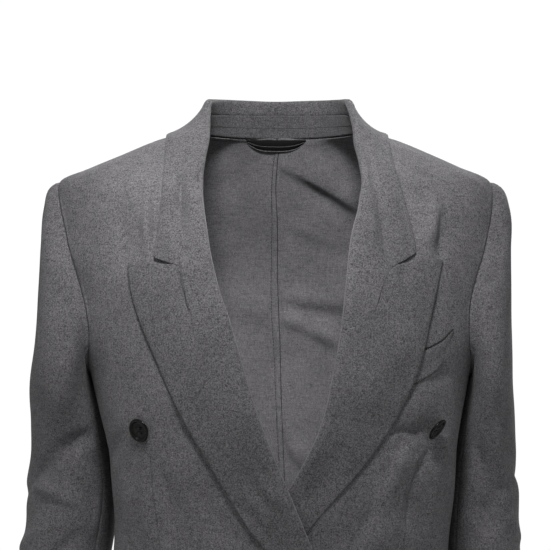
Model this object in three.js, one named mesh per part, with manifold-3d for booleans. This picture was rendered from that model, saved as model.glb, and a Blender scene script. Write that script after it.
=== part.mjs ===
// A double-breasted wool blazer with peak lapels, filled out as if worn, with nobody in it.
// Millimetres, +Z up, the front faces -Y. "Right" and "left" are the wearer's, so right is -X.
// The origin lies midway between the two points where the shoulder seams meet the collar.
import * as THREE from 'three';
import Module from 'manifold-3d';
import { mergeVertices } from 'three/addons/utils/BufferGeometryUtils.js';

const wasm = await Module();
wasm.setup();

// ---------- driving dimensions ----------
const CLOTH = 1.8;              // thickness of a wall of cloth
const SEAM_GAP = 0.3;           // clearance between two pieces at a seam
const HEM = -760;               // height of the hem
const CUFF = -640;              // height of the cuffs
const EDGE_X = 72;              // front edge to centre line, so the fronts lap by twice this
const BREAK = -515;             // height where the lapels start to roll
// How far the right front rides out over the left one, how far ahead of the left one's edge it
// starts to, over what distance, and the height and distance over which it does so downwards.
const LAP = { lift: 5.4, ahead: 34, over: 26, top: -250, drop: 80 };
// Radius of the fold of a lapel or the collar, near the break, and on the left lapel where the
// right front presses it; and the flat cloth between the front's edge and the fold.
const FOLD = { radius: 3, low: 1.6, pressed: 1.25, lead: 2.2 };
const LOW_FOLD = { top: -440, drop: 70 };      // heights over which the fold narrows to the break
const PRESSED_FOLD = { top: -300, drop: 50 };  // and over which the right front presses the left one
// Lift of a lapel's edge off its front, where it is pressed, and two soft swells of it.
const LAPEL_LIFT = { edge: 3.1, pressed: 2.5, top: -290, drop: 60 };
const LAPEL_SWELL = {
  left: { z: -232, height: 2.4, reach: 34 }, right: { z: -330, height: 2.4, reach: 60 },
};
// Button: widest is the height of its widest place above its foot.
const BUTTON = {
  radius: 11.8, thick: 4, rim: 2.6, dish: 1.5, foot: 7.3, widest: 1.7, holeRadius: 1.1, holeReach: 2.6,
};
// Breast welt: X of its two ends along the top and the bottom edge, Z of those ends, how far
// both edges sag, and how high its middle surface lies above that of its front.
const WELT = {
  top: [[74, -223], [170, -195]], bottom: [[66, -254], [162, -226]], sag: 4.5, lift: 2.5, thick: 1.5,
};
// Hanger loop: X of its two ends, Z of its top and bottom edges, how far the bottom edge sags,
// its thickness, and the clearance between it and the inside of the back.
const LOOP = { from: -32, to: 30, top: -3.8, bottom: -10.5, sag: 3.5, thick: 1.2, clear: 1.6 };
const ARMHOLE = { top: -50.5, bottom: -241, front: 67, back: 62, frontSkew: 0.52, backSkew: 0.2 };
const CAP_BASE = -257;          // height where the sleeve cap has turned into a tube
const CAP_FULLNESS = { right: 105, left: 128 };  // how far the cap swells out at its crown
const CAP_UNDER = 16;           // how far it swells at the underarm
const CAP_SPREAD = 10;          // how far it swells forwards and backwards
const CAP_DIP = 12;             // how far the swelling at the crown leans down

// Level sections of the body: half width, front and back depth, shift of the middle in X,
// Y of the widest points, and the power of the superellipse.
const BODY = [
  { z: 8, half: 50, front: 10, back: 88, mid: 0, lead: 0, power: 2.1 },
  { z: 0, half: 82, front: 24, back: 91, mid: 0, lead: 0, power: 2.1 },
  { z: -5, half: 109, front: 31, back: 93, mid: 0, lead: 0, power: 2.1 },
  { z: -11, half: 127, front: 37, back: 94, mid: 0, lead: 0, power: 2.1 },
  { z: -20, half: 148.5, front: 46, back: 96, mid: 0, lead: 0, power: 2.1 },
  { z: -37.4, half: 188.5, front: 62, back: 99, mid: -1.6, lead: 0, power: 2.1 },
  { z: -50.5, half: 214.5, front: 73, back: 102, mid: -2, lead: 0, power: 2.1 },
  { z: -78, half: 221, front: 89, back: 107, mid: -0.5, lead: 0, power: 2.15 },
  { z: -110, half: 220, front: 104, back: 114, mid: 0, lead: 0, power: 2.25 },
  { z: -155, half: 212, front: 119, back: 117, mid: 0, lead: 0, power: 2.35 },
  { z: -200, half: 201, front: 128, back: 115, mid: 2, lead: -8, power: 2.4 },
  { z: -240, half: 187, front: 132, back: 111, mid: 3, lead: -22, power: 2.4 },
  { z: -265, half: 180, front: 133, back: 108, mid: 3.5, lead: -34, power: 2.4 },
  { z: -292, half: 175, front: 132, back: 104, mid: 4.5, lead: -40, power: 2.35 },
  { z: -323, half: 170, front: 129, back: 99, mid: 5.8, lead: -42, power: 2.35 },
  { z: -365, half: 166, front: 125, back: 94, mid: 6.8, lead: -40, power: 2.3 },
  { z: -410, half: 164, front: 121, back: 92, mid: 3.5, lead: -36, power: 2.3 },
  { z: -460, half: 166, front: 120, back: 95, mid: 1, lead: -28, power: 2.3 },
  { z: -520, half: 175, front: 125, back: 104, mid: 0, lead: -18, power: 2.3 },
  { z: -620, half: 188, front: 132, back: 116, mid: 0, lead: -8, power: 2.3 },
  { z: -760, half: 200, front: 140, back: 122, mid: 0, lead: 0, power: 2.3 },
];

// Roll line of each lapel and collar front, seen from the front, down to the break.
const ROLL = [
  { z: 0, right: -67, left: 75.8 },
  { z: -29, right: -70.5, left: 80.3 },
  { z: -58, right: -73, left: 82.8 },
  { z: -97, right: -68.3, left: 73.8 },
  { z: -133, right: -62.5, left: 68 },
  { z: -183, right: -46.9, left: 63.3 },
  { z: -226, right: -34.4, left: 55.8 },
  { z: -278, right: -18.6, left: 45.1 },
  { z: -323, right: -1, left: 26.4 },
  { z: -371, right: 19.1, left: -2 },
  { z: -430, right: 42, left: -32 },
  { z: BREAK, right: EDGE_X, left: -EDGE_X },
];

// Neck edge of each front, from the shoulder seam down to where the gorge seam starts.
const NECK = [
  { z: 0, right: -82, left: 82 },
  { z: -12, right: -83, left: 87 },
  { z: -29, right: -84, left: 91 },
  { z: -55, right: -84.5, left: 93 },
  { z: -84, right: -80.5, left: 86 },
  { z: -133, right: -69, left: 74.8 },
  { z: -200, right: -47.5, left: 68 },
];

// Outer edge of each lapel, from its peak to the break.
const LAPEL_EDGE = [
  { z: -129, right: -143.3, left: 159.7 },
  { z: -142, right: -142.2, left: 157.8 },
  { z: -166, right: -138.6, left: 150.7 },
  { z: -206, right: -122.9, left: 142 },
  { z: -266, right: -96.7, left: 121 },
  { z: -323, right: -64.4, left: 84.5 },
  { z: -379, right: -30.6, left: 36.5 },
  { z: -440, right: 16, left: -12 },
  { z: BREAK, right: EDGE_X, left: -EDGE_X },
];

// Outer edge of the collar leaf on each front, from the shoulder to its corner.
const LEAF_EDGE = [
  { z: -5.3, right: -109, left: 109 },
  { z: -28, right: -110.7, left: 113.2 },
  { z: -62, right: -112.3, left: 122 },
  { z: -105, right: -116.7, left: 131.5 },
  { z: -126, right: -118.9, left: 134.4 },
];

// The gorge seam climbs from the roll line to the inner end of the notch.
const GORGE = {
  right: [[-51.5, -183], [-70, -180.5], [-84, -172.5], [-88.2, -158.4], [-90.9, -145], [-93.9, -134.8]],
  left: [[67.5, -195.5], [81, -189], [92.5, -177.5], [98.6, -161], [103.6, -147], [111, -135.5]],
};
// Points of the notch: on the lapel's top edge, the lapel's peak, and the collar's corner.
const NOTCH = {
  right: { step: [-118.9, -131.6], peak: [-143.3, -130.5], corner: [-118.9, -126.3] },
  left: { step: [134.4, -128.2], peak: [159.7, -128.6], corner: [134.4, -121.7] },
};

// The collar from the centre back (at 0) to the side neck (at 5) and round onto the front:
// where it folds (half width by side, Y, Z), where its leaf ends, and the height of the stand.
const COLLAR = [
  { at: 0, right: 0, left: 0, foldY: 97, foldZ: 36, edgeX: 0, edgeZ: -12, stand: 24.5 },
  { at: 1, right: 33, left: 34, foldY: 92.5, foldZ: 36.6, edgeX: 37, edgeZ: -12.5, stand: 24 },
  { at: 2, right: 55, left: 57, foldY: 79, foldZ: 36.8, edgeX: 68, edgeZ: -12, stand: 23 },
  { at: 3, right: 65.5, left: 68, foldY: 58, foldZ: 36.4, edgeX: 91, edgeZ: -10, stand: 21.5 },
  { at: 4, right: 68, left: 71, foldY: 37, foldZ: 35, edgeX: 103, edgeZ: -7, stand: 19.5 },
  { at: 5, right: 67.6, left: 72, foldY: 15, foldZ: 31, edgeX: 109, edgeZ: -5.3, stand: 16 },
  { at: 6, right: 66.9, left: 75.4, foldY: -8, foldZ: 9, edgeX: 109, edgeZ: -5.3, stand: 9 },
  { at: 7, right: 67.6, left: 76.6, foldY: -30, foldZ: -9, edgeX: 109, edgeZ: -5.3, stand: 5 },
];
const NECK_DROP = 3;            // the neck seam is this much lower at the centre back
const LEAF_BEND = { fold: 1.3, edge: 0.9 };  // how far the leaf keeps its direction at each end
const LEAF_LIFT = { rest: 3.3, shoulder: 1.6 };  // its edge off the body, and more at the shoulder
const LEAST_STAND = 1.8;        // height that is left of the stand where it runs out

// Levels of the sleeves: middle, half width and half depth of each, and Y of the middle.
const SLEEVE = [
  { z: -257, midY: 7, right: -211.6, rightHalf: 31.4, rightDepth: 75,
    left: 211.5, leftHalf: 23.7, leftDepth: 78 },
  { z: -300, midY: 18, right: -206.8, rightHalf: 39, rightDepth: 68,
    left: 207.2, leftHalf: 29.8, leftDepth: 73 },
  { z: -354, midY: 23, right: -204, rightHalf: 43.6, rightDepth: 62,
    left: 205.2, leftHalf: 34.6, leftDepth: 67 },
  { z: -410, midY: 19, right: -210, rightHalf: 44.5, rightDepth: 58,
    left: 204.4, leftHalf: 38.2, leftDepth: 62 },
  { z: -470, midY: 11, right: -217.5, rightHalf: 43, rightDepth: 56,
    left: 212, leftHalf: 40, leftDepth: 57 },
  { z: -560, midY: -9, right: -228, rightHalf: 40, rightDepth: 51,
    left: 226, leftHalf: 39, leftDepth: 51 },
  { z: -640, midY: -32, right: -236, rightHalf: 37.5, rightDepth: 46,
    left: 234.5, leftHalf: 37, leftDepth: 46 },
];

// Large soft folds of the body: from one end to the other as seen from the front or back,
// how wide and how deep; a ridge is positive and a trough negative.
const BODY_FOLDS = [
  { face: 'front', from: [-131, -58], to: [-128, -122], width: 16, depth: 3.2 },
  { face: 'front', from: [-117, -66], to: [-119, -120], width: 12, depth: -2.2 },
  { face: 'front', from: [159, -62], to: [150, -112], width: 14, depth: 3 },
  { face: 'front', from: [168, -84], to: [166, -116], width: 12, depth: -2.4 },
  { face: 'front', from: [112, -292], to: [150, -300], width: 14, depth: -3 },
  { face: 'front', from: [132, -305], to: [100, -420], width: 22, depth: 3.4 },
  { face: 'front', from: [-150, -330], to: [-96, -440], width: 24, depth: 2.6 },
  { face: 'back', from: [4, -30], to: [84, -74], width: 17, depth: 3.4 },
  { face: 'back', from: [8, -190], to: [64, -216], width: 16, depth: 2.8 },
  { face: 'back', from: [4, -308], to: [26, -342], width: 15, depth: 2.6 },
  { face: 'back', from: [-12, -120], to: [-110, -168], width: 20, depth: 2.6 },
  { face: 'back', from: [-30, -390], to: [-120, -420], width: 22, depth: -3 },
  { face: 'back', from: [36, -405], to: [130, -380], width: 22, depth: -3 },
];
// Folds of the sleeves: turn round the sleeve in degrees (0 outside, 90 front) and height.
const SLEEVE_FOLDS = [
  { side: 'right', from: [62, -175], to: [14, -282], width: 22, depth: 3.6 },
  { side: 'right', from: [95, -300], to: [40, -345], width: 20, depth: -3 },
  { side: 'right', from: [-40, -352], to: [30, -366], width: 15, depth: 4 },
  { side: 'right', from: [140, -390], to: [95, -470], width: 20, depth: -3 },
  { side: 'left', from: [40, -296], to: [24, -378], width: 20, depth: 3.4 },
  { side: 'left', from: [75, -330], to: [110, -420], width: 20, depth: -3 },
  { side: 'left', from: [-60, -380], to: [-10, -400], width: 18, depth: -3 },
];

// Each button: the front it lies on, its place, how far it is tipped sideways and down in
// degrees, and its seat: how far off a flat front it would sit, in seam gaps. The fronts are
// curved, so each one clears its own by about one gap.
const BUTTONS = [
  { name: 'button_right_show', side: 'right', x: -130.5, z: -291, tipSide: 7, tipDown: 13, seat: -0.2 },
  { name: 'button_left_show', side: 'left', x: 148.5, z: -289, tipSide: 12, tipDown: 54, seat: 3.5 },
  { name: 'button_right_lower', side: 'right', x: -57, z: BREAK - 6, tipSide: 3, tipDown: 5, seat: 0.4 },
  { name: 'button_left_closing', side: 'right', x: 55, z: BREAK - 6, tipSide: -2, tipDown: 4, seat: -0.2 },
];

// ---------- mesh sizes ----------
const ARM_STEPS = 12;           // steps down each half of an armhole
const SIDE_STEPS = 15;          // steps down a side seam
const NECK_STEPS = 10;          // steps down the front neck edge
const LAPEL_STEPS = 13;         // steps down a lapel
const BACK_NECK_STEPS = 6;      // steps along half of the back neck
const FRONT_COLUMNS = 13;
const BACK_COLUMNS = 9;
const ROLL_STEPS = 5;           // facets round a fold
const GORGE_STEPS = 5;
const NOTCH_STEPS = 3;
const CAP_ROWS = 6;             // steps from the armhole down to the sleeve's tube
const TUBE_ROWS = 12;
const WELT_ROWS = 3;
const WELT_COLUMNS = 8;
const LOOP_ROWS = 2;
const LOOP_COLUMNS = 12;
const ROWS = ARM_STEPS + SIDE_STEPS;
const EDGE_ROWS = ROWS - NECK_STEPS - LAPEL_STEPS;

// ---------- small maths ----------
const SIGN = { right: -1, left: 1 };
const mix = (a, b, t) => a + (b - a) * t;
const clamp = (t, low, high) => Math.min(high, Math.max(low, t));
const ease = (t) => { const c = clamp(t, 0, 1); return c * c * (3 - 2 * c); };
const radians = Math.PI / 180;
const vec = (x, y, z) => new THREE.Vector3(x, y, z);
const moved = (p, direction, distance) => p.clone().addScaledVector(direction, distance);
const steps = (count) => Array.from({ length: count + 1 }, (_, i) => i / count);

/** A smooth curve, without overshoot, through one column of a table against its key column. */
function column(rows, name, key = 'z') {
  const sorted = [...rows].sort((a, b) => a[key] - b[key]);
  const x = sorted.map((row) => row[key]);
  const y = sorted.map((row) => row[name]);
  const secant = x.slice(1).map((_, i) => (y[i + 1] - y[i]) / (x[i + 1] - x[i]));
  const slope = y.map((_, i) => {
    if (i === 0 || i === y.length - 1) return secant[Math.min(i, secant.length - 1)];
    const [before, after] = [secant[i - 1], secant[i]];
    return before * after <= 0 ? 0 : (2 * before * after) / (before + after);
  });
  return (at) => {
    const v = clamp(at, x[0], x[x.length - 1]);
    let i = 0;
    while (i < x.length - 2 && v > x[i + 1]) i += 1;
    const h = x[i + 1] - x[i];
    const t = (v - x[i]) / h;
    const rise = y[i + 1] - y[i];
    const bend = t * (1 - t) * ((1 - t) * (h * slope[i] - rise) - t * (h * slope[i + 1] - rise));
    return y[i] + rise * t + bend;
  };
}

/** Every column of a table as its own curve. */
const curves = (rows, names, key) => Object.fromEntries(
  names.map((name) => [name, column(rows, name, key)]));

const body = curves(BODY, ['half', 'front', 'back', 'mid', 'lead', 'power']);
const roll = curves(ROLL, ['right', 'left']);
const neck = curves(NECK, ['right', 'left']);
const lapelEdge = curves(LAPEL_EDGE, ['right', 'left']);
const leafEdge = curves(LEAF_EDGE, ['right', 'left']);
const collar = curves(COLLAR, ['right', 'left', 'foldY', 'foldZ', 'edgeX', 'edgeZ', 'stand'], 'at');

// ---------- the form of the body ----------
const depthAt = (z, isFront) => (isFront ? body.front(z) + body.lead(z) : body.back(z) - body.lead(z));

/** Point of the smooth body at a turn in degrees: 0 centre front, 90 widest, 180 centre back. */
function ringPoint(side, turn, z) {
  const power = 2 / body.power(z);
  const s = Math.sin(turn * radians);
  const c = Math.cos(turn * radians);
  const x = body.mid(z) + SIGN[side] * body.half(z) * Math.sign(s) * Math.abs(s) ** power;
  const y = body.lead(z) - Math.sign(c) * depthAt(z, c > 0) * Math.abs(c) ** power;
  return vec(x, y, z);
}

/** Turn of the front point that has this X. */
function turnOfX(side, x, z) {
  const share = clamp((SIGN[side] * (x - body.mid(z))) / body.half(z), -1, 1);
  return Math.sign(share) * Math.asin(Math.abs(share) ** (body.power(z) / 2)) / radians;
}

/** Turn of the point on one side that has this Y. */
function turnOfY(y, z) {
  const isFront = y < body.lead(z);
  const share = clamp(Math.abs(y - body.lead(z)) / depthAt(z, isFront), 0, 1);
  const turn = Math.acos(share ** (body.power(z) / 2)) / radians;
  return isFront ? turn : 180 - turn;
}

/** How far outside the body a point is: 0 on it, in units of the section. */
function bodyLevel(x, y, z) {
  const isFront = y < body.lead(z);
  const u = Math.abs(x - body.mid(z)) / body.half(z);
  const v = Math.abs(y - body.lead(z)) / depthAt(z, isFront);
  return u ** body.power(z) + v ** body.power(z) - 1;
}

/** Outward direction of the smooth body. */
function bodyNormal(p) {
  const h = 0.5;
  const slope = (dx, dy, dz) => bodyLevel(p.x + dx, p.y + dy, p.z + dz)
    - bodyLevel(p.x - dx, p.y - dy, p.z - dz);
  return vec(slope(h, 0, 0), slope(0, h, 0), slope(0, 0, h)).normalize();
}

/** Height of the folds at a place given by two coordinates. */
function foldHeight(folds, a, b) {
  let height = 0;
  for (const fold of folds) {
    const [ax, ay] = fold.from;
    const [dx, dy] = [fold.to[0] - ax, fold.to[1] - ay];
    const length = Math.hypot(dx, dy);
    const along = ((a - ax) * dx + (b - ay) * dy) / (length * length);
    const across = ((a - ax) * dy - (b - ay) * dx) / length;
    const end = ease((along + 0.2) / 0.45) * ease((1.2 - along) / 0.45);
    height += fold.depth * end * Math.exp(-((across / fold.width) ** 2));
  }
  return height;
}

const frontFolds = BODY_FOLDS.filter((fold) => fold.face === 'front');
const backFolds = BODY_FOLDS.filter((fold) => fold.face === 'back');

/** A point of the smooth body moved out by its folds and a lift, with its outward direction. */
function clothPoint(p, lift = 0) {
  const normal = bodyNormal(p);
  const folds = p.y < body.lead(p.z) ? frontFolds : backFolds;
  return { p: moved(p, normal, lift + foldHeight(folds, p.x, p.z)), normal };
}

/** How far the right front rides out over the left one at a place on it. */
function lapLift(x, z) {
  const leftEdge = z > BREAK ? roll.left(z) : -EDGE_X;
  const reach = ease((x - leftEdge + LAP.ahead) / LAP.over);
  return LAP.lift * reach * ease((LAP.top - z) / LAP.drop);
}

/** A point lying on a front at a lift, from its X and Z. */
function onFront(side, x, z, lift) {
  const ride = side === 'right' ? lapLift(x, z) : 0;
  return clothPoint(ringPoint(side, turnOfX(side, x, z), z), ride + lift);
}

// ---------- closed walls ----------
/** Moves the edges of a grid in by half a seam gap, square to each edge. */
function inset(grid, { inner = true, gap = SEAM_GAP * 0.6 } = {}) {
  const columns = grid[0].map((_, j) => grid.map((row) => row[j]));
  const edges = [];
  if (inner) edges.push([columns[0], columns[1]]);
  edges.push([columns.at(-1), columns.at(-2)]);
  edges.push([grid[0], grid[1]]);
  edges.push([grid.at(-1), grid.at(-2)]);
  for (const [edge, next] of edges) {
    const pulls = edge.map(({ p, normal }, i) => {
      const along = edge[Math.min(i + 1, edge.length - 1)].p.clone().sub(edge[Math.max(i - 1, 0)].p);
      const inward = along.cross(normal).normalize();
      return inward.dot(next[i].p.clone().sub(p)) < 0 ? inward.negate() : inward;
    });
    edge.forEach((cell, i) => { cell.p = moved(cell.p, pulls[i], gap); });
  }
  return grid;
}

/** Outward directions of a grid of points, from its own neighbours. */
function gridNormals(points, flip) {
  const rows = points.length;
  const columns = points[0].length;
  return points.map((row, i) => row.map((point, j) => {
    const down = points[Math.min(i + 1, rows - 1)][j].clone().sub(points[Math.max(i - 1, 0)][j]);
    const across = row[Math.min(j + 1, columns - 1)].clone().sub(row[Math.max(j - 1, 0)]);
    const normal = across.cross(down).normalize();
    return { p: point.clone(), normal: flip ? normal.negate() : normal };
  }));
}

/** A closed wall of cloth: the grid's middle surface, thickened along its directions. */
function wall(grid, thickness = CLOTH) {
  const rows = grid.length;
  const columns = grid[0].length;
  const positions = [];
  for (const offset of [thickness / 2, -thickness / 2]) {
    for (const row of grid) {
      for (const { p, normal } of row) positions.push(...moved(p, normal, offset).toArray());
    }
  }
  const outer = (i, j) => i * columns + j;
  const inner = (i, j) => rows * columns + i * columns + j;
  const index = [];
  const quad = (a, b, c, d) => index.push(a, b, c, a, c, d);
  for (let i = 0; i < rows - 1; i += 1) {
    for (let j = 0; j < columns - 1; j += 1) {
      quad(outer(i, j), outer(i + 1, j), outer(i + 1, j + 1), outer(i, j + 1));
      quad(inner(i, j), inner(i, j + 1), inner(i + 1, j + 1), inner(i + 1, j));
    }
  }
  for (let i = 0; i < rows - 1; i += 1) {
    quad(outer(i, 0), inner(i, 0), inner(i + 1, 0), outer(i + 1, 0));
    quad(outer(i + 1, columns - 1), inner(i + 1, columns - 1), inner(i, columns - 1), outer(i, columns - 1));
  }
  for (let j = 0; j < columns - 1; j += 1) {
    quad(outer(0, j + 1), inner(0, j + 1), inner(0, j), outer(0, j));
    quad(outer(rows - 1, j), inner(rows - 1, j), inner(rows - 1, j + 1), outer(rows - 1, j + 1));
  }
  const geometry = new THREE.BufferGeometry();
  geometry.setAttribute('position', new THREE.Float32BufferAttribute(positions, 3));
  geometry.setIndex(index);
  return facingOut(geometry);
}

/** Turns a closed mesh so that its faces point out. */
function facingOut(geometry) {
  const at = geometry.getAttribute('position');
  const index = geometry.getIndex().array;
  let volume = 0;
  for (let i = 0; i < index.length; i += 3) {
    const [a, b, c] = [0, 1, 2].map((k) => new THREE.Vector3().fromBufferAttribute(at, index[i + k]));
    volume += a.dot(b.cross(c));
  }
  if (volume < 0) {
    const turned = Array.from(index);
    for (let i = 0; i < turned.length; i += 3) [turned[i], turned[i + 1]] = [turned[i + 1], turned[i]];
    geometry.setIndex(turned);
  }
  geometry.computeVertexNormals();
  return geometry;
}

// ---------- fronts and backs ----------
/** Place on the armhole seam: 0 at the shoulder, 180 at the underarm. */
function armholePlace(turn, isFront) {
  const middle = (ARMHOLE.top + ARMHOLE.bottom) / 2;
  const z = middle + ((ARMHOLE.top - ARMHOLE.bottom) / 2) * Math.cos(turn * radians);
  const skew = isFront ? ARMHOLE.frontSkew : ARMHOLE.backSkew;
  const swing = turn * radians - skew * Math.sin(turn * radians);
  const y = isFront ? -ARMHOLE.front * Math.sin(swing) : ARMHOLE.back * Math.sin(swing);
  return { y, z };
}

/** Y of the side seam, which runs a little behind the widest part. */
const sideSeamY = (z) => mix(0, 16, ease((ARMHOLE.bottom - z) / 60));
const sideSeamZ = (i) => mix(ARMHOLE.bottom, HEM, i / SIDE_STEPS);

/** Turn and height of row i on the outer boundary of a front or back. */
function outerPlace(i, isFront) {
  if (i === 0) return { turn: 90, z: ARMHOLE.top };
  if (i < ARM_STEPS) {
    const { y, z } = armholePlace((180 * i) / ARM_STEPS, isFront);
    return { turn: turnOfY(y, z), z };
  }
  const z = sideSeamZ(i - ARM_STEPS);
  return { turn: turnOfY(sideSeamY(z), z), z };
}

const gorgeTop = { right: GORGE.right[0][1], left: GORGE.left[0][1] };
const neckRowZ = (side, i) => gorgeTop[side] * (i / NECK_STEPS) ** 1.8;
const lapelRowZ = (side, i) => mix(gorgeTop[side], BREAK + 6, i / LAPEL_STEPS);
const foldRadius = (side, z) => {
  const open = mix(FOLD.radius, FOLD.low, ease((LOW_FOLD.top - z) / LOW_FOLD.drop));
  if (side === 'right') return open;
  return mix(open, FOLD.pressed, ease((PRESSED_FOLD.top - z) / PRESSED_FOLD.drop));
};

/** Where the front's cloth ends and its lapel's fold begins, in X, at a height. */
function foldStart(side, z) {
  return roll[side](z) + SIGN[side] * (foldRadius(side, z) + FOLD.lead);
}

/** X and Z of row i on the inner boundary of a front: neck, then fold, then front edge. */
function innerPlace(side, i) {
  if (i <= NECK_STEPS) {
    const z = neckRowZ(side, i);
    const blend = ease((i - NECK_STEPS + 2) / 2);
    return { x: mix(neck[side](z), foldStart(side, z), blend), z };
  }
  if (i <= NECK_STEPS + LAPEL_STEPS) {
    const z = lapelRowZ(side, i - NECK_STEPS);
    return { x: foldStart(side, z), z };
  }
  const t = (i - NECK_STEPS - LAPEL_STEPS) / EDGE_ROWS;
  return { x: -SIGN[side] * EDGE_X, z: mix(BREAK - 3, HEM, t) };
}

function frontGrid(side) {
  const grid = [];
  for (let i = 0; i <= ROWS; i += 1) {
    const start = innerPlace(side, i);
    const startTurn = i === 0 ? 90 : turnOfX(side, start.x, start.z);
    const end = outerPlace(i, true);
    grid.push(steps(FRONT_COLUMNS).map((u) => {
      const z = mix(start.z, end.z, u);
      const p = ringPoint(side, mix(startTurn, end.turn, u), z);
      const ride = side === 'right' ? lapLift(p.x, z) : 0;
      return clothPoint(p, p.y < body.lead(z) ? ride : 0);
    }));
  }
  return inset(grid);
}

/** Turn and height of a station of the back neck seam, from the centre back to the shoulder. */
function backNeckPlace(k) {
  const turn = 180 - (90 * k) / BACK_NECK_STEPS;
  return { turn, z: -NECK_DROP * Math.cos(turn * radians) ** 2 };
}

function backGrid(side) {
  const grid = [];
  for (let i = 0; i <= ROWS; i += 1) {
    const centre = (i - BACK_NECK_STEPS) / (ROWS - BACK_NECK_STEPS);
    const start = i <= BACK_NECK_STEPS
      ? backNeckPlace(BACK_NECK_STEPS - i)
      : { turn: 180, z: mix(-NECK_DROP, HEM, centre ** 1.15) };
    const end = outerPlace(i, false);
    grid.push(steps(BACK_COLUMNS).map((u) => {
      const p = ringPoint(side, mix(start.turn, end.turn, u), mix(start.z, end.z, u));
      return clothPoint(p);
    }));
  }
  return inset(grid);
}

// ---------- lapels ----------
/** Points of a fold that starts on a surface, turns over and comes back above it. */
function foldOver(start, inward, outward, radius, withStart) {
  const points = withStart ? [start.clone()] : [];
  const turnStart = moved(start, inward, FOLD.lead);
  for (const t of steps(ROLL_STEPS)) {
    const turn = Math.PI * t;
    const p = moved(turnStart, inward, radius * Math.sin(turn));
    points.push(moved(p, outward, radius * (1 - Math.cos(turn))));
  }
  return points;
}

/** Lift of a lapel at a share of its width and at a height. */
function lapelLift(side, u, z) {
  const under = side === 'left' ? ease((LAPEL_LIFT.top - z) / LAPEL_LIFT.drop) : 0;
  const swell = LAPEL_SWELL[side];
  const swollen = swell.height * Math.exp(-(((z - swell.z) / swell.reach) ** 2));
  const atEdge = mix(LAPEL_LIFT.edge + swollen, LAPEL_LIFT.pressed, under);
  return mix(2 * foldRadius(side, z), atEdge, ease(u * 1.3));
}

/** X and Z along the gorge seam and then the notch edge to an end point. */
function gorgePlaces(side, ends) {
  const spline = new THREE.CatmullRomCurve3(GORGE[side].map(([x, z]) => vec(x, 0, z)));
  const places = steps(GORGE_STEPS).map((t) => spline.getPoint(t)).map((p) => [p.x, p.z]);
  const notch = new THREE.CatmullRomCurve3([GORGE[side].at(-1), ...ends].map(([x, z]) => vec(x, 0, z)),
    false, 'catmullrom', 0.2);
  for (const t of steps(NOTCH_STEPS).slice(1)) {
    const p = notch.getPoint(t);
    places.push([p.x, p.z]);
  }
  return places;
}

/** The frame of a fold on a front at a height: its start, and the ways in and out. */
function foldFrame(side, z) {
  const at = (height) => onFront(side, foldStart(side, height), height, 0);
  const { p: start, normal } = at(z);
  const along = at(z - 4).p.sub(at(z + 4).p);
  const inward = new THREE.Vector3().crossVectors(along, normal).normalize();
  if (inward.x * SIGN[side] > 0) inward.negate();
  return { start, inward, outward: normal };
}

/** The row shared by lapel and collar: over the fold, along the gorge and out to an end. */
function gorgeRow(side, ends) {
  const z = lapelRowZ(side, 0);
  const radius = foldRadius(side, z);
  const { start, inward, outward } = foldFrame(side, z);
  const points = foldOver(start, inward, outward, radius, false);
  const row = points.map((p, i) => {
    const turn = (Math.PI * i) / ROLL_STEPS;
    const normal = outward.clone().multiplyScalar(-Math.cos(turn)).addScaledVector(inward, Math.sin(turn));
    return { p, normal };
  });
  const places = gorgePlaces(side, ends);
  places.forEach(([x, height], j) => {
    if (j === 0) return;
    row.push(onFront(side, x, height, lapelLift(side, j / (places.length - 1), height)));
  });
  return { start, outward, row };
}

function lapelGrid(side) {
  const rows = [];
  const leafColumns = GORGE_STEPS + NOTCH_STEPS;
  const ends = [NOTCH[side].step, NOTCH[side].peak];
  const top = gorgePlaces(side, ends);
  for (let i = 0; i <= LAPEL_STEPS; i += 1) {
    const v = i / LAPEL_STEPS;
    const z = lapelRowZ(side, i);
    const { start, inward, outward } = foldFrame(side, z);
    const row = foldOver(start, inward, outward, foldRadius(side, z), true);
    const leafStart = [row.at(-1).x, row.at(-1).z];
    const edgeZ = mix(NOTCH[side].peak[1], BREAK + 6, v);
    const leafEnd = [i === 0 ? NOTCH[side].peak[0] : lapelEdge[side](edgeZ), edgeZ];
    if (i === LAPEL_STEPS) leafEnd[0] = leafStart[0] + SIGN[side] * 3.5;
    for (let j = 1; j <= leafColumns; j += 1) {
      const u = j / leafColumns;
      const hold = (1 - v) ** 3;
      const topDrift = [0, 1].map((k) => top[j][k] - mix(top[0][k], top.at(-1)[k], u));
      const x = mix(leafStart[0], leafEnd[0], u) + hold * topDrift[0];
      const height = mix(leafStart[1], leafEnd[1], u) + hold * topDrift[1];
      row.push(onFront(side, x, height, lapelLift(side, u, height)).p);
    }
    rows.push(row);
  }
  const grid = gridNormals(rows, side === 'left');
  const shared = gorgeRow(side, ends);
  grid[0] = [{ p: shared.start, normal: shared.outward.clone().negate() }, ...shared.row];
  return inset(grid, { gap: SEAM_GAP });
}

// ---------- collar ----------
const STATIONS = BACK_NECK_STEPS + NECK_STEPS;
const SIDE_NECK = 5;            // where the collar table stands at the shoulder seam
const RISING = 3;               // front stations whose fold still stands off the body
const STAND_STATIONS = BACK_NECK_STEPS + RISING;
const DRIFT_ROWS = 5;           // rows over which the collar's end is drawn to the gorge seam

/** Lift of the leaf's edge at a station: it bridges the round of the shoulder. */
const leafEdgeLift = (k) => LEAF_LIFT.rest
  + LEAF_LIFT.shoulder * Math.exp(-(((k - BACK_NECK_STEPS) / 2) ** 2));

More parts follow.
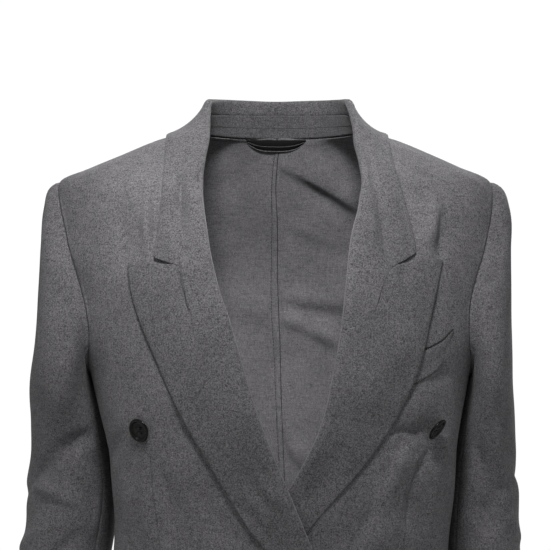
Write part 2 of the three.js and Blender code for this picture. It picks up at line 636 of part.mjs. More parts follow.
/** Neck seam, fold and leaf edge of one station of the collar. */
function collarStation(side, k) {
  const i = k - BACK_NECK_STEPS;
  const at = i <= 0 ? (SIDE_NECK * k) / BACK_NECK_STEPS : SIDE_NECK + (2 * i) / RISING;
  const fold = vec(SIGN[side] * collar[side](at), collar.foldY(at), collar.foldZ(at));
  if (i <= 0) {
    const place = backNeckPlace(k);
    const seam = clothPoint(ringPoint(side, place.turn, place.z)).p;
    const edgeZ = collar.edgeZ(at);
    const share = clamp(collar.edgeX(at) / body.half(edgeZ), 0, 1);
    const turn = 180 - Math.asin(share ** (body.power(edgeZ) / 2)) / radians;
    const edge = clothPoint(ringPoint(side, turn, edgeZ), leafEdgeLift(k)).p;
    return { seam, fold, edge, stand: collar.stand(at) };
  }
  const place = innerPlace(side, i);
  const seam = onFront(side, place.x, place.z, 0).p;
  const edgeZ = mix(collar.edgeZ(SIDE_NECK), NOTCH[side].corner[1], (i / NECK_STEPS) ** 1.35);
  const edge = onFront(side, leafEdge[side](edgeZ), edgeZ, leafEdgeLift(k)).p;
  if (i <= RISING) return { seam, fold, edge, stand: collar.stand(at) };
  const foldZ = place.z + 4 * (0.5 ** (i - RISING - 1)) * (i < NECK_STEPS - 2 ? 1 : 0);
  fold.copy(onFront(side, roll[side](foldZ), foldZ, foldRadius(side, foldZ)).p);
  return { seam, fold, edge, stand: 0 };
}

/** The curve over one station: points for the stand, then for the fall. */
function collarSection(side, stations, k) {
  const { seam, fold, edge, stand } = stations[k];
  const after = stations[Math.min(k + 1, stations.length - 1)].fold;
  const before = k > 0 ? stations[k - 1].fold : vec(-after.x, after.y, after.z);
  const along = after.clone().sub(before).normalize();
  const reach = fold.clone().sub(seam);
  const distance = reach.length();
  const mean = reach.clone().divideScalar(distance);
  const across = new THREE.Vector3().crossVectors(mean, along).normalize();
  if (side === 'right') across.negate();
  const lean = Math.asin(clamp(FOLD.radius / distance, 0, 0.8));
  const up = mean.clone().multiplyScalar(Math.cos(lean)).addScaledVector(across, -Math.sin(lean));
  const out = across.clone().multiplyScalar(Math.cos(lean)).addScaledVector(mean, Math.sin(lean));
  const wallHeight = distance * Math.cos(lean) - FOLD.radius;
  const clear = 1 + 1.6 * Math.abs(up.dot(bodyNormal(seam)));
  const standTop = Math.max(stand, clear);
  const standPoints = steps(2).map((t) => moved(seam, up, mix(clear, Math.max(standTop, LEAST_STAND), t)));
  const fallPoints = steps(2).map((t) => moved(seam, up, mix(standTop + 0.8, wallHeight, t)));
  const centre = moved(moved(seam, up, wallHeight), out, FOLD.radius);
  for (const t of steps(ROLL_STEPS).slice(1)) {
    const turn = Math.PI * t;
    const p = moved(centre, out, -FOLD.radius * Math.cos(turn));
    fallPoints.push(moved(p, up, FOLD.radius * Math.sin(turn)));
  }
  const leafStart = fallPoints.at(-1);
  const normal = bodyNormal(edge);
  const run = edge.clone().sub(seam);
  const flat = run.clone().addScaledVector(normal, -run.dot(normal)).normalize();
  const length = edge.distanceTo(leafStart);
  const leafColumns = GORGE_STEPS + NOTCH_STEPS;
  for (let j = 1; j <= leafColumns; j += 1) {
    const t = j / leafColumns;
    const [t2, t3] = [t * t, t * t * t];
    const p = leafStart.clone().multiplyScalar(2 * t3 - 3 * t2 + 1);
    p.addScaledVector(up, -(t3 - 2 * t2 + t) * length * LEAF_BEND.fold);
    p.addScaledVector(edge, 3 * t2 - 2 * t3);
    p.addScaledVector(flat, (t3 - t2) * length * LEAF_BEND.edge);
    fallPoints.push(p);
  }
  return { standPoints, fallPoints };
}

/** Half of the collar as rows of points from the centre back to the notch. */
function collarHalf(side) {
  const stations = steps(STATIONS).map((_, k) => collarStation(side, k));
  const sections = stations.map((_, k) => collarSection(side, stations, k));
  const end = sections[STATIONS].fallPoints;
  const { start, outward, row } = gorgeRow(side, [NOTCH[side].corner]);
  const flatNormal = outward.clone().negate();
  const last = [
    { p: start, normal: flatNormal },
    { p: start.clone().lerp(row[0].p, 0.5), normal: flatNormal },
    ...row,
  ];
  const drift = last.map(({ p }, j) => p.clone().sub(end[j]));
  for (let k = STATIONS - DRIFT_ROWS + 1; k <= STATIONS; k += 1) {
    const share = k === STATIONS ? 1 : 0.85 * ease((k - STATIONS + DRIFT_ROWS) / DRIFT_ROWS);
    sections[k].fallPoints.forEach((p, j) => p.addScaledVector(drift[j], share));
  }
  return { sections, last };
}

function collarGrids() {
  const left = collarHalf('left');
  const right = collarHalf('right');
  const rows = [...right.sections.slice(1).reverse(), ...left.sections];
  const fallGrid = gridNormals(rows.map((row) => row.fallPoints), true);
  fallGrid[0] = right.last;
  fallGrid[fallGrid.length - 1] = left.last;
  const nearBack = rows.slice(STATIONS - STAND_STATIONS, STATIONS + STAND_STATIONS + 1);
  const standGrid = gridNormals(nearBack.map((row) => row.standPoints), true);
  return { fall: inset(fallGrid, { gap: 2 * SEAM_GAP }), stand: inset(standGrid) };
}

// ---------- sleeves ----------
const sleeve = curves(SLEEVE, ['right', 'rightHalf', 'rightDepth', 'left', 'leftHalf', 'leftDepth', 'midY']);

/** Point of a sleeve's level section: turn 0 outside, 90 front, 180 inside, 270 back. */
function sleeveRing(side, turn, z) {
  const power = 2 / 2.1;
  const [s, c] = [Math.sin(turn * radians), Math.cos(turn * radians)];
  const x = sleeve[side](z) + SIGN[side] * sleeve[`${side}Half`](z) * Math.sign(c) * Math.abs(c) ** power;
  const y = sleeve.midY(z) - sleeve[`${side}Depth`](z) * Math.sign(s) * Math.abs(s) ** power;
  return vec(x, y, z);
}

/** Point of the armhole seam where the sleeve starts, just off the outside of the body. */
function armholePoint(side, turn) {
  const isFront = turn <= 180;
  const { y, z } = armholePlace(isFront ? turn : 360 - turn, isFront);
  const { p, normal } = clothPoint(ringPoint(side, turnOfY(y, z), z));
  return moved(p, normal, CLOTH / 2 + 1.5 * SEAM_GAP);
}

/** One line of the sleeve from the armhole to the cuff. */
function sleeveLine(side, turn) {
  const start = armholePoint(side, turn);
  const base = sleeveRing(side, turn, CAP_BASE);
  const step = 12;
  const below = sleeveRing(side, turn, CAP_BASE - step);
  const outwardness = (1 + Math.cos(turn * radians)) / 2;
  const leave = vec(SIGN[side] * mix(CAP_UNDER, CAP_FULLNESS[side], outwardness),
    -CAP_SPREAD * Math.sin(turn * radians), -CAP_DIP * outwardness);
  const arrive = below.sub(base).multiplyScalar((start.z - CAP_BASE) / step);
  const line = [];
  for (const s of steps(CAP_ROWS)) {
    const t = s ** 1.25;
    const [t2, t3] = [t * t, t * t * t];
    const p = start.clone().multiplyScalar(2 * t3 - 3 * t2 + 1);
    p.addScaledVector(leave, t * (1 - t) ** 3);
    p.addScaledVector(base, 3 * t2 - 2 * t3);
    p.addScaledVector(arrive, t3 - t2);
    line.push(p);
  }
  for (const t of steps(TUBE_ROWS).slice(1)) {
    line.push(sleeveRing(side, turn, mix(CAP_BASE, CUFF, t)));
  }
  return line;
}

/** A strip of a sleeve between two turns, with its folds. */
function sleeveGrid(side, fromStep, toStep) {
  const turnStep = 180 / ARM_STEPS;
  const lines = [];
  for (let k = fromStep - 1; k <= toStep + 1; k += 1) {
    lines.push(sleeveLine(side, (((k * turnStep) % 360) + 360) % 360));
  }
  const folds = SLEEVE_FOLDS.filter((fold) => fold.side === side);
  const reach = 0.9;              // millimetres of sleeve for each degree of turn
  const scaled = folds.map((fold) => ({
    ...fold, from: [fold.from[0] * reach, fold.from[1]], to: [fold.to[0] * reach, fold.to[1]],
  }));
  const full = gridNormals(lines, side === 'left');
  const grid = full.slice(1, -1);
  grid.forEach((line, n) => line.forEach((cell) => {
    const turn = (fromStep + n) * turnStep;
    cell.p = moved(cell.p, cell.normal, foldHeight(scaled, turn * reach, cell.p.z));
  }));
  return inset(grid, { inner: false });
}

// ---------- small pieces ----------
const sagging = (u) => 1 - (2 * u - 1) ** 2;

/** The breast welt: a curved strip on the left front, higher towards the arm. */
function weltGrid() {
  const edge = ([inner, outer], u) => [
    mix(inner[0], outer[0], u), mix(inner[1], outer[1], u ** 1.5) - WELT.sag * sagging(u)];
  return steps(WELT_ROWS).map((v) => steps(WELT_COLUMNS).map((u) => {
    const [top, bottom] = [edge(WELT.top, u), edge(WELT.bottom, u)];
    return onFront('left', mix(top[0], bottom[0], v), mix(top[1], bottom[1], v), WELT.lift);
  }));
}

/** The hanger loop: a braid held at both ends inside the back neck, which hangs a little. */
function hangerGrid() {
  const depth = -(CLOTH / 2 + LOOP.thick / 2 + LOOP.clear);
  return steps(LOOP_ROWS).map((v) => steps(LOOP_COLUMNS).map((u) => {
    const x = mix(LOOP.from, LOOP.to, u);
    const z = mix(LOOP.top, LOOP.bottom, v) - LOOP.sag * sagging(u) * v;
    const share = Math.abs(x) / body.half(z);
    const turn = 180 - Math.asin(share ** (body.power(z) / 2)) / radians;
    return clothPoint(ringPoint(x < 0 ? 'right' : 'left', turn, z), depth);
  }));
}

/** A round button lying in the XY plane, its face up, with four holes. */
function buttonGeometry() {
  const { radius, thick, rim, dish, foot, widest, holeRadius, holeReach } = BUTTON;
  const profile = [
    [0, 0], [foot, 0], [radius, widest], [radius, thick * 0.75], [radius - rim * 0.4, thick],
    [radius - rim, thick * 0.92], [radius - rim * 1.5, thick - dish], [0, thick - dish],
  ].map(([r, h]) => new THREE.Vector2(r, h));
  const disc = new THREE.LatheGeometry(profile, 22).rotateX(Math.PI / 2);
  let solid = toManifold(disc);
  for (let i = 0; i < 4; i += 1) {
    const turn = Math.PI / 4 + (i * Math.PI) / 2;
    const drill = new THREE.CylinderGeometry(holeRadius, holeRadius, thick * 3, 6).rotateX(Math.PI / 2);
    drill.translate(holeReach * Math.cos(turn), holeReach * Math.sin(turn), 0);
    solid = solid.subtract(toManifold(drill));
  }
  const { vertProperties, triVerts } = solid.getMesh();
  const geometry = new THREE.BufferGeometry();
  geometry.setAttribute('position', new THREE.Float32BufferAttribute(vertProperties, 3));
  geometry.setIndex(Array.from(triVerts));
  return facingOut(geometry);
}

function toManifold(geometry) {
  geometry.deleteAttribute('normal');
  geometry.deleteAttribute('uv');
  const merged = facingOut(mergeVertices(geometry, 1e-4));
  return new wasm.Manifold(new wasm.Mesh({
    numProp: 3,
    vertProperties: merged.getAttribute('position').array,
    triVerts: Uint32Array.from(merged.getIndex().array),
  }));
}

function buttonMesh(geometry, { name, side, x, z, tipSide, tipDown, seat }, material) {
  const { p, normal } = onFront(side, x, z, 0);
  const face = normal.clone().applyAxisAngle(vec(0, 0, 1), SIGN[side] * tipSide * radians);
  face.applyAxisAngle(vec(1, 0, 0), tipDown * radians).normalize();
  const tilt = face.angleTo(normal);
  const low = Math.max(BUTTON.foot * Math.sin(tilt),
    BUTTON.radius * Math.sin(tilt) - BUTTON.widest * Math.cos(tilt));
  const mesh = new THREE.Mesh(geometry, material);
  mesh.name = name;
  mesh.position.copy(moved(p, normal, CLOTH / 2 + SEAM_GAP * seat + low));
  mesh.quaternion.setFromUnitVectors(vec(0, 0, 1), face);
  return mesh;
}

// ---------- the blazer ----------
const flannel = new THREE.MeshStandardMaterial({ color: 0x4d4c50, roughness: 0.95, metalness: 0 });
const lapelFlannel = new THREE.MeshStandardMaterial({ color: 0x58575b, roughness: 0.95, metalness: 0 });
const braid = new THREE.MeshStandardMaterial({ color: 0x161618, roughness: 0.8, metalness: 0 });
const horn = new THREE.MeshStandardMaterial({ color: 0x1c1814, roughness: 0.3, metalness: 0 });

const group = new THREE.Group();
function add(name, geometry, material) {
  const mesh = new THREE.Mesh(geometry, material);
  mesh.name = name;
  group.add(mesh);
}

for (const side of ['right', 'left']) {
  add(`front_${side}`, wall(frontGrid(side)), flannel);
  add(`back_${side}`, wall(backGrid(side)), flannel);
  add(`sleeve_upper_${side}`, wall(sleeveGrid(side, -7, 9)), flannel);
  add(`sleeve_under_${side}`, wall(sleeveGrid(side, 9, 17)), flannel);
  add(`lapel_${side}`, wall(lapelGrid(side)), lapelFlannel);
}
const { fall, stand } = collarGrids();
add('collar_fall', wall(fall), lapelFlannel);
add('collar_stand', wall(stand), lapelFlannel);
add('chest_welt', wall(weltGrid(), WELT.thick), flannel);
add('hanger_loop', wall(hangerGrid(), LOOP.thick), braid);
const buttonShape = buttonGeometry();
for (const button of BUTTONS) group.add(buttonMesh(buttonShape, button, horn));

export default group;
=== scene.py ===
"""The looks of a double-breasted wool blazer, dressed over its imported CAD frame.

Every cut piece of cloth takes its form from its own CAD solid. The solid's two sheets give a grid
of points, and the grid is refined into a smooth thin shell with folds and rolled edges.
Metres, +Z up, and the front faces -Y. "Right" and "left" are the wearer's, so right is -X.
"""
import math

import bmesh
import bpy
import numpy as np
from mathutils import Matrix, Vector


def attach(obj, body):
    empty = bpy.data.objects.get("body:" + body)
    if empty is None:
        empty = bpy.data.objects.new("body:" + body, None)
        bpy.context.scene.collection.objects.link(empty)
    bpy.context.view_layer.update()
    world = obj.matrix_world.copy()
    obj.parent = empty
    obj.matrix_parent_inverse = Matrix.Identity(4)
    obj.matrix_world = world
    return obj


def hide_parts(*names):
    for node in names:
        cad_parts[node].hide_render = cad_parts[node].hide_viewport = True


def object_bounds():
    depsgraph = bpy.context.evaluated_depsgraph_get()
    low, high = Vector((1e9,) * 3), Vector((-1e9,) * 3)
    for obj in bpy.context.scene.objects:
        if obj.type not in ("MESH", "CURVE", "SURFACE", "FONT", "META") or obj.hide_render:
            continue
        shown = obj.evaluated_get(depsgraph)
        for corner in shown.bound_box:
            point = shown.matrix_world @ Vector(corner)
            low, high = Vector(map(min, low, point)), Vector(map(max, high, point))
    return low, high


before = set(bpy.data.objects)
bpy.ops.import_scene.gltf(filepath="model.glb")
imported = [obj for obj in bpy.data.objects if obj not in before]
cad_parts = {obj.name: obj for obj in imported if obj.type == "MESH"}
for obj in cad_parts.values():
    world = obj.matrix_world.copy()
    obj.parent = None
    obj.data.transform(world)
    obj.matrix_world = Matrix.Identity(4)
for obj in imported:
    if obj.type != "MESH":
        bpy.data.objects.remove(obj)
cad_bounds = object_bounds()

MM = 0.001
SQUARE = ((1, 1), (-1, 1), (-1, -1), (1, -1))  # its corners in turn
MERGE_STEPS = 1e5               # a solid's points are merged on a grid of so many steps per metre
SHEET_TURNS = range(75, 30, -5)  # degrees, tried in turn: a sharper edge parts two sheets of cloth
BEHIND = np.array([0.0, 1.0, 0.0])
CELL = 3.6 * MM                 # size of a fine cell of cloth
SHORTEST_CELL = 0.1 * MM
EDGE_ROWS = (0.5, 1.1, 2.2)     # millimetres: close rows of cells beside every edge
EDGE_CLEAR = 1.3                # other rows keep away by so many times the last of these
EDGE_ROUND = 1.1 * MM           # width over which an edge of cloth is rounded
INSIDE_SINK = 0.6               # the inside sinks at an edge by this share of what the outside does
# Kinds of edge: how far the cloth is lengthened there to meet its neighbour across the gap that
# their solids leave, and how far its outside sinks.
SEAM, FREE, PRESSED = (0.48 * MM, 0.6 * MM), (0.4 * MM, 0.72 * MM), (1.1 * MM, 0.04 * MM)

FOLD_HOLD = 10 * MM             # folds die out over this distance from an edge
FOLD_FADE = 0.25                # and over this share of their length, before and after each end
WAVE = 46 * MM                  # size of the soft waves of all cloth
CREST_RADIUS = 5 * MM           # a fold tighter than this gets a painted highlight along its crest
CREST_TOP, CREST_FADE = -50 * MM, 30 * MM   # the painted highlight shows below this height
CREST_FACING, CREST_SPREAD = -0.3, 0.2      # it lies where the cloth's direction has this y

# Tables by kind of piece, the start of a node's name.
# Rows of each solid's grid, and the direction in which its first corner lies furthest.
GRIDS = {
    "front": (28, (0, 0, 1)),
    "back": (28, (0, 0, 1)),
    "sleeve_upper": (17, (0, 1, 1)),
    "sleeve_under": (9, (0, -1, 1)),
    "lapel_right": (14, (1, 0, 1)),
    "lapel_left": (14, (-1, 0, 1)),
    "collar_fall": (33, (-1, 0, -3)),
    "collar_stand": (19, (-1, 0, -3)),
    "chest_welt": (4, (-1, 0, 1)),
    "hanger_loop": (3, (-1, 0, 3)),
}
# Pieces whose outside faces forwards. The outside of all others faces away from their middle.
FORWARD = ("lapel", "chest_welt", "hanger_loop")
# Edges that aren't plain seams: top and bottom rows, first and last columns.
EDGES = {
    "front": {"bottom": FREE, "first": FREE},
    "back": {"bottom": FREE},
    "sleeve": {"bottom": FREE},
    "lapel": {"last": FREE, "bottom": FREE, "top": PRESSED},
    "collar_fall": {"last": FREE, "top": PRESSED, "bottom": PRESSED},
    "collar_stand": {"first": PRESSED, "last": PRESSED},
    "chest_welt": {"top": FREE, "bottom": FREE, "first": FREE, "last": FREE},
    "hanger_loop": {"bottom": FREE},
}
# Share of an end edge that is sewn into the gorge: the rest is free, beside the notch.
GORGE = {"lapel": 0.62, "collar_fall": 0.76}
GORGE_FADE = 0.06               # the sewn part ends over this share

# Soft folds on top of the solids' own, by the side they are seen from: their two ends as
# (across, z) in millimetres, half width, depth (a ridge is positive), sideways bend, and how much
# narrower the flank to the right of the fold's run is than the left one. From the side, across is y.
FOLDS = {
    "front_right": {"front": [
        ((-128, -58), (-125, -118), 8, 4.7, 1, 0.5),
        ((-120, -60), (-118, -124), 4.5, -3.6, 1, 1),
        ((-152, -70), (-162, -160), 14, -2.6, -6, 0.7),
        ((-150, -296), (-172, -348), 9, -3.2, 4, 0.6),
        ((-112, -330), (-92, -430), 11, -3.2, -3, 0.8),
        ((-128, -316), (-120, -410), 7, 2.3, 2, 0.7),
        ((-60, -400), (-20, -470), 12, 2.6, 4, 0.7),
        ((-40, -330), (-14, -380), 9, -1.8, 3, 0.7),
        ((-100, -560), (-120, -700), 16, 3.2, 6, 0.8),
        ((10, -560), (24, -690), 14, -2.9, -5, 0.8),
    ]},
    "front_left": {"front": [
        ((155, -66), (147, -110), 7, 4.2, -2, 0.6),
        ((160, -84), (159, -124), 5, -3.9, 1, 0.8),
        ((110, -293), (138, -297), 5, -4.2, -2, 0.6),
        ((131, -303), (92, -400), 10, 5.2, 7, 0.7),
        ((146, -312), (124, -384), 7, -4.2, 4, 0.6),
        ((112, -316), (78, -396), 9, -3.2, -5, 0.7),
        ((164, -300), (150, -380), 7, 2.9, 3, 0.7),
        ((98, -120), (118, -180), 14, 1.8, 4, 0.7),
        ((148, -246), (168, -236), 9, -2.1, 2, 0.7),
        ((110, -520), (120, -680), 15, 2.9, -6, 0.8),
    ]},
    "back_right": {"back": [
        ((-72, -168), (-4, -178), 15, -1.8, 3, 0.6),
        ((-70, -58), (-20, -96), 16, -1.2, 4, 0.6),
        ((-20, -372), (-118, -404), 12, -3.6, 5, 0.6),
        ((-36, -398), (-124, -436), 10, -2.4, 4, 0.6),
        ((-30, -470), (-60, -640), 16, 3.4, 8, 0.8),
        ((-86, -500), (-110, -680), 14, 2.6, 6, 0.8),
        ((-110, -150), (-146, -290), 14, -3.2, -6, 0.7),
        ((-128, -120), (-150, -200), 9, 2.2, -4, 0.7),
    ]},
    "back_left": {"back": [
        ((4, -29), (88, -72), 20, -7.6, -3, 0.34),
        ((20, -92), (84, -112), 14, -2.0, 2, 0.6),
        ((4, -164), (80, -172), 13, -3.6, 2, 0.5),
        ((3, -188), (64, -214), 12, -5.0, -2, 0.45),
        ((3, -304), (26, -338), 10, -4.4, -1, 0.45),
        ((36, -388), (126, -372), 12, -3.6, 5, 0.6),
        ((28, -420), (118, -404), 10, -2.2, 4, 0.6),
        ((40, -470), (66, -640), 16, 3.2, -8, 0.8),
        ((92, -520), (118, -690), 14, 2.8, -6, 0.8),
        ((112, -140), (144, -280), 13, -3.0, 6, 0.7),
        ((126, -110), (150, -190), 9, 2.0, 4, 0.7),
    ]},
    "sleeve_upper_right": {"front": [
        ((-194, -150), (-220, -286), 12, 4.3, -6, 0.7),
        ((-180, -150), (-192, -262), 8, -3.0, 3, 0.8),
        ((-182, -296), (-232, -336), 11, -4.1, 5, 0.6),
        ((-246, -352), (-200, -368), 8, 4.1, -3, 0.5),
        ((-172, -352), (-178, -392), 5, 2.7, 2, 0.7),
        ((-190, -392), (-228, -436), 10, -3.0, 4, 0.6),
    ], "side": [
        ((-30, -330), (34, -372), 10, -3.2, 5, 0.6),
        ((40, -200), (30, -290), 12, 2.2, 5, 0.7),
        ((-34, -392), (28, -420), 9, 2.4, 4, 0.6),
        ((-10, -470), (20, -560), 14, 1.9, 6, 0.8),
    ]},
    "sleeve_upper_left": {"front": [
        ((197, -138), (212, -152), 7, -3.2, 3, 0.6),
        ((206, -112), (216, -200), 9, 2.7, 4, 0.7),
        ((214, -290), (231, -380), 7, 3.8, 3, 0.5),
        ((196, -310), (206, -396), 8, -3.2, -4, 0.6),
        ((240, -336), (204, -374), 9, -3.0, 3, 0.6),
        ((222, -392), (200, -430), 8, 2.2, 3, 0.6),
    ], "side": [
        ((-34, -318), (30, -356), 10, -3.2, 5, 0.6),
        ((36, -190), (26, -286), 12, 2.2, -5, 0.7),
        ((-30, -384), (26, -408), 9, 2.4, 4, 0.6),
        ((-16, -470), (16, -560), 14, 1.9, -6, 0.8),
    ]},
    "sleeve_under_right": {"back": [
        ((-196, -330), (-226, -372), 10, -3.8, 4, 0.6),
        ((-196, -420), (-230, -450), 11, 2.9, 4, 0.7),
    ]},
    "sleeve_under_left": {"back": [
        ((196, -322), (226, -362), 10, -3.8, -4, 0.6),
        ((198, -416), (230, -442), 11, 2.9, -4, 0.7),
    ]},
    "lapel_right": {"front": [
        ((-98, -136), (-86, -170), 4, -2.2, 1, 0.8),
        ((-112, -150), (-92, -230), 13, 1.8, 4, 0.8),
        ((-74, -230), (-44, -320), 14, 1.8, 4, 0.8),
        ((-40, -290), (-8, -380), 12, -1.6, 3, 0.8),
    ]},
    "lapel_left": {"front": [
        ((120, -134), (126, -170), 4, -2.2, 1, 0.8),
        ((128, -150), (116, -226), 13, 1.8, -4, 0.8),
        ((96, -230), (70, -310), 14, 1.8, -4, 0.8),
        ((60, -300), (24, -370), 12, -1.6, -3, 0.8),
    ]},
    "collar_fall": {"front": [
        ((-94, -34), (-94, -122), 7, -4.7, 2, 0.6),
        ((-104, -60), (-106, -118), 9, 2.3, 1, 0.8),
        ((-82, -56), (-80, -104), 7, 2.9, 1, 0.8),
        ((-75, -40), (-80, -64), 5, -4.7, 1, 0.8),
        ((91, -34), (105, -118), 7, -4.4, -2, 0.7),
        ((84, -60), (90, -108), 7, 2.6, 1, 0.8),
        ((108, -60), (120, -114), 9, 2.3, 1, 0.8),
    ]},
}

# Darts in the fronts, from top to bottom, as (x, z) in millimetres.
DARTS = {
    "front_right": [(-122, -318), (-119, -358), (-113, -402), (-108, -470), (-106, -540)],
    "front_left": [(136, -322), (130, -338), (125, -358), (122, -400), (119, -470), (117, -540)],
}


# ---------- small maths ----------
def ease(t):
    t = np.clip(t, 0, 1)
    return t * t * (3 - 2 * t)


def unit(vectors):
    return vectors / np.maximum(np.linalg.norm(vectors, axis=-1, keepdims=True), 1e-12)


# ---------- grids of points from the solids ----------
def solid_of(node):
    """Merged points and triangles of a CAD solid."""
    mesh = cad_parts[node].data
    raw = np.array([vertex.co for vertex in mesh.vertices])
    keys, index = np.unique(np.round(raw * MERGE_STEPS).astype(int), axis=0, return_inverse=True)
    faces = np.array([polygon.vertices[:] for polygon in mesh.polygons])
    return keys / MERGE_STEPS, index.reshape(-1)[faces]


def edge_faces(triangles):
    """Each edge's triangles, by the edge's two points in order."""
    edges = {}
    for t, triangle in enumerate(triangles):
        for a, b in zip(triangle, np.roll(triangle, -1)):
            edges.setdefault((min(a, b), max(a, b)), []).append(t)
    return edges


def smooth_patches(triangles, normals, turn):
    """Sets of triangles that meet at less than a turn in degrees, the two largest ones."""
    group = list(range(len(triangles)))

    def root(t):
        while group[t] != t:
            group[t] = group[group[t]]
            t = group[t]
        return t

    smooth = math.cos(math.radians(turn))
    for pair in edge_faces(triangles).values():
        if normals[pair[0]] @ normals[pair[1]] > smooth:
            group[root(pair[0])] = root(pair[1])
    roots = np.array([root(t) for t in range(len(triangles))])
    names, counts = np.unique(roots, return_counts=True)
    return [np.flatnonzero(roots == name) for name in names[np.argsort(counts)[-2:]]]


def spread(place, triangles, edges, start, accept):
    """Gives places to points, triangle by triangle. Two that share an edge form a parallelogram."""
    waiting, seen = list(start), set(start)
    while waiting:
        triangle = triangles[waiting.pop()]
        for a, b, c in (triangle, np.roll(triangle, 1), np.roll(triangle, 2)):
            for other in edges[(min(a, b), max(a, b))]:
                if other in seen:
                    continue
                far = int(next(v for v in triangles[other] if v not in (a, b)))
                found = (place[a][0] + place[b][0] - place[c][0],
                         place[a][1] + place[b][1] - place[c][1])
                if accept(other, found):
                    place.setdefault(far, found)
                    seen.add(other)
                    waiting.append(other)
    return seen


def lattice(points, triangles, patch, rows):
    """The points of one sheet as a grid, or None. The patch is the smooth part of the sheet."""
    edges = edge_faces(triangles)
    size = (rows, len(points) // 2 // rows)
    own = set(patch.tolist())
    first = int(patch[0])
    for corner in range(3):
        seed = np.roll(triangles[first], corner).tolist()
        place = dict(zip(seed, [(0, 0), (1, 0), (0, 1)]))
        seen = spread(place, triangles, edges, [first], lambda t, _: t in own)
        low = np.min(list(place.values()), axis=0)
        extent = tuple((np.max(list(place.values()), axis=0) - low + 1).tolist())
        if extent not in (size, size[::-1]):
            continue
        place = {v: (i - low[0], j - low[1]) for v, (i, j) in place.items()}
        spread(place, triangles, edges, seen,
               lambda t, at: 0 <= at[0] < extent[0] and 0 <= at[1] < extent[1])
        if len(place) == rows * size[1]:
            grid = np.zeros((*extent, 3))
            places = np.array(list(place.values()))
            grid[places[:, 0], places[:, 1]] = points[list(place)]
            return grid
    return None


def two_sheets(points, triangles, rows):
    """The two sheets of a wall of cloth, each as a grid of points."""
    corners = points[triangles]
    normals = unit(np.cross(corners[:, 1] - corners[:, 0], corners[:, 2] - corners[:, 0]))
    for turn in SHEET_TURNS:
        patches = smooth_patches(triangles, normals, turn)
        grids = [lattice(points, triangles, patch, rows) for patch in patches]
        if all(grid is not None for grid in grids):
            return grids
    raise ValueError("a wall of cloth has no two equal sheets")


def oriented(grid, rows, start):
    """The grid turned so that it has these rows and its first corner lies towards start."""
    if grid.shape[0] != rows:
        grid = grid.transpose(1, 0, 2)
    turned = [grid, grid[::-1], grid[:, ::-1], grid[::-1, ::-1]]
    return max(turned, key=lambda g: float(g[0, 0] @ np.array(start)))


# ---------- smooth refinement ----------
def knots_of(grid):
    """Running length along axis 0, as the mean over axis 1."""
    lengths = np.linalg.norm(np.diff(grid, axis=0), axis=-1).mean(axis=1)
    return np.concatenate([[0], np.cumsum(np.maximum(lengths, SHORTEST_CELL))])


def fine_places(grid, knots):
    """Places of the fine rows: even steps within each interval, and close rows at both ends."""
    longest = np.linalg.norm(np.diff(grid, axis=0), axis=-1).max(axis=1)
    places = []
    for i, length in enumerate(longest):
        count = max(2, math.ceil(length / CELL))
        places.extend(np.linspace(knots[i], knots[i + 1], count, endpoint=False))
    edge = np.array(EDGE_ROWS) * MM
    clear = edge[-1] * EDGE_CLEAR
    between = [place for place in places if clear < place < knots[-1] - clear]
    ends = [knots[0], knots[-1], *(knots[0] + edge), *(knots[-1] - edge)]
    return np.unique(np.concatenate([between, ends]))


def smooth_rows(grid, knots, places):
    """Smooth curves through the grid's rows, at new places along axis 0."""
    gaps = np.diff(knots).reshape(-1, 1, 1)
    slopes = np.diff(grid, axis=0) / gaps
    tangents = np.empty_like(grid)
    tangents[1:-1] = (gaps[:-1] * slopes[1:] + gaps[1:] * slopes[:-1]) / (gaps[:-1] + gaps[1:])
    tangents[0] = 2 * slopes[0] - tangents[1]
    tangents[-1] = 2 * slopes[-1] - tangents[-2]
    i = np.clip(np.searchsorted(knots, places, side="right") - 1, 0, len(knots) - 2)
    gap = gaps[i]
    t = ((places - knots[i]) / gap[:, 0, 0]).reshape(-1, 1, 1)
    return ((2 * t**3 - 3 * t**2 + 1) * grid[i] + (t**3 - 2 * t**2 + t) * gap * tangents[i]
            + (3 * t**2 - 2 * t**3) * grid[i + 1] + (t**3 - t**2) * gap * tangents[i + 1])


def grid_normals(grid):
    return unit(np.cross(np.gradient(grid, axis=0), np.gradient(grid, axis=1)))


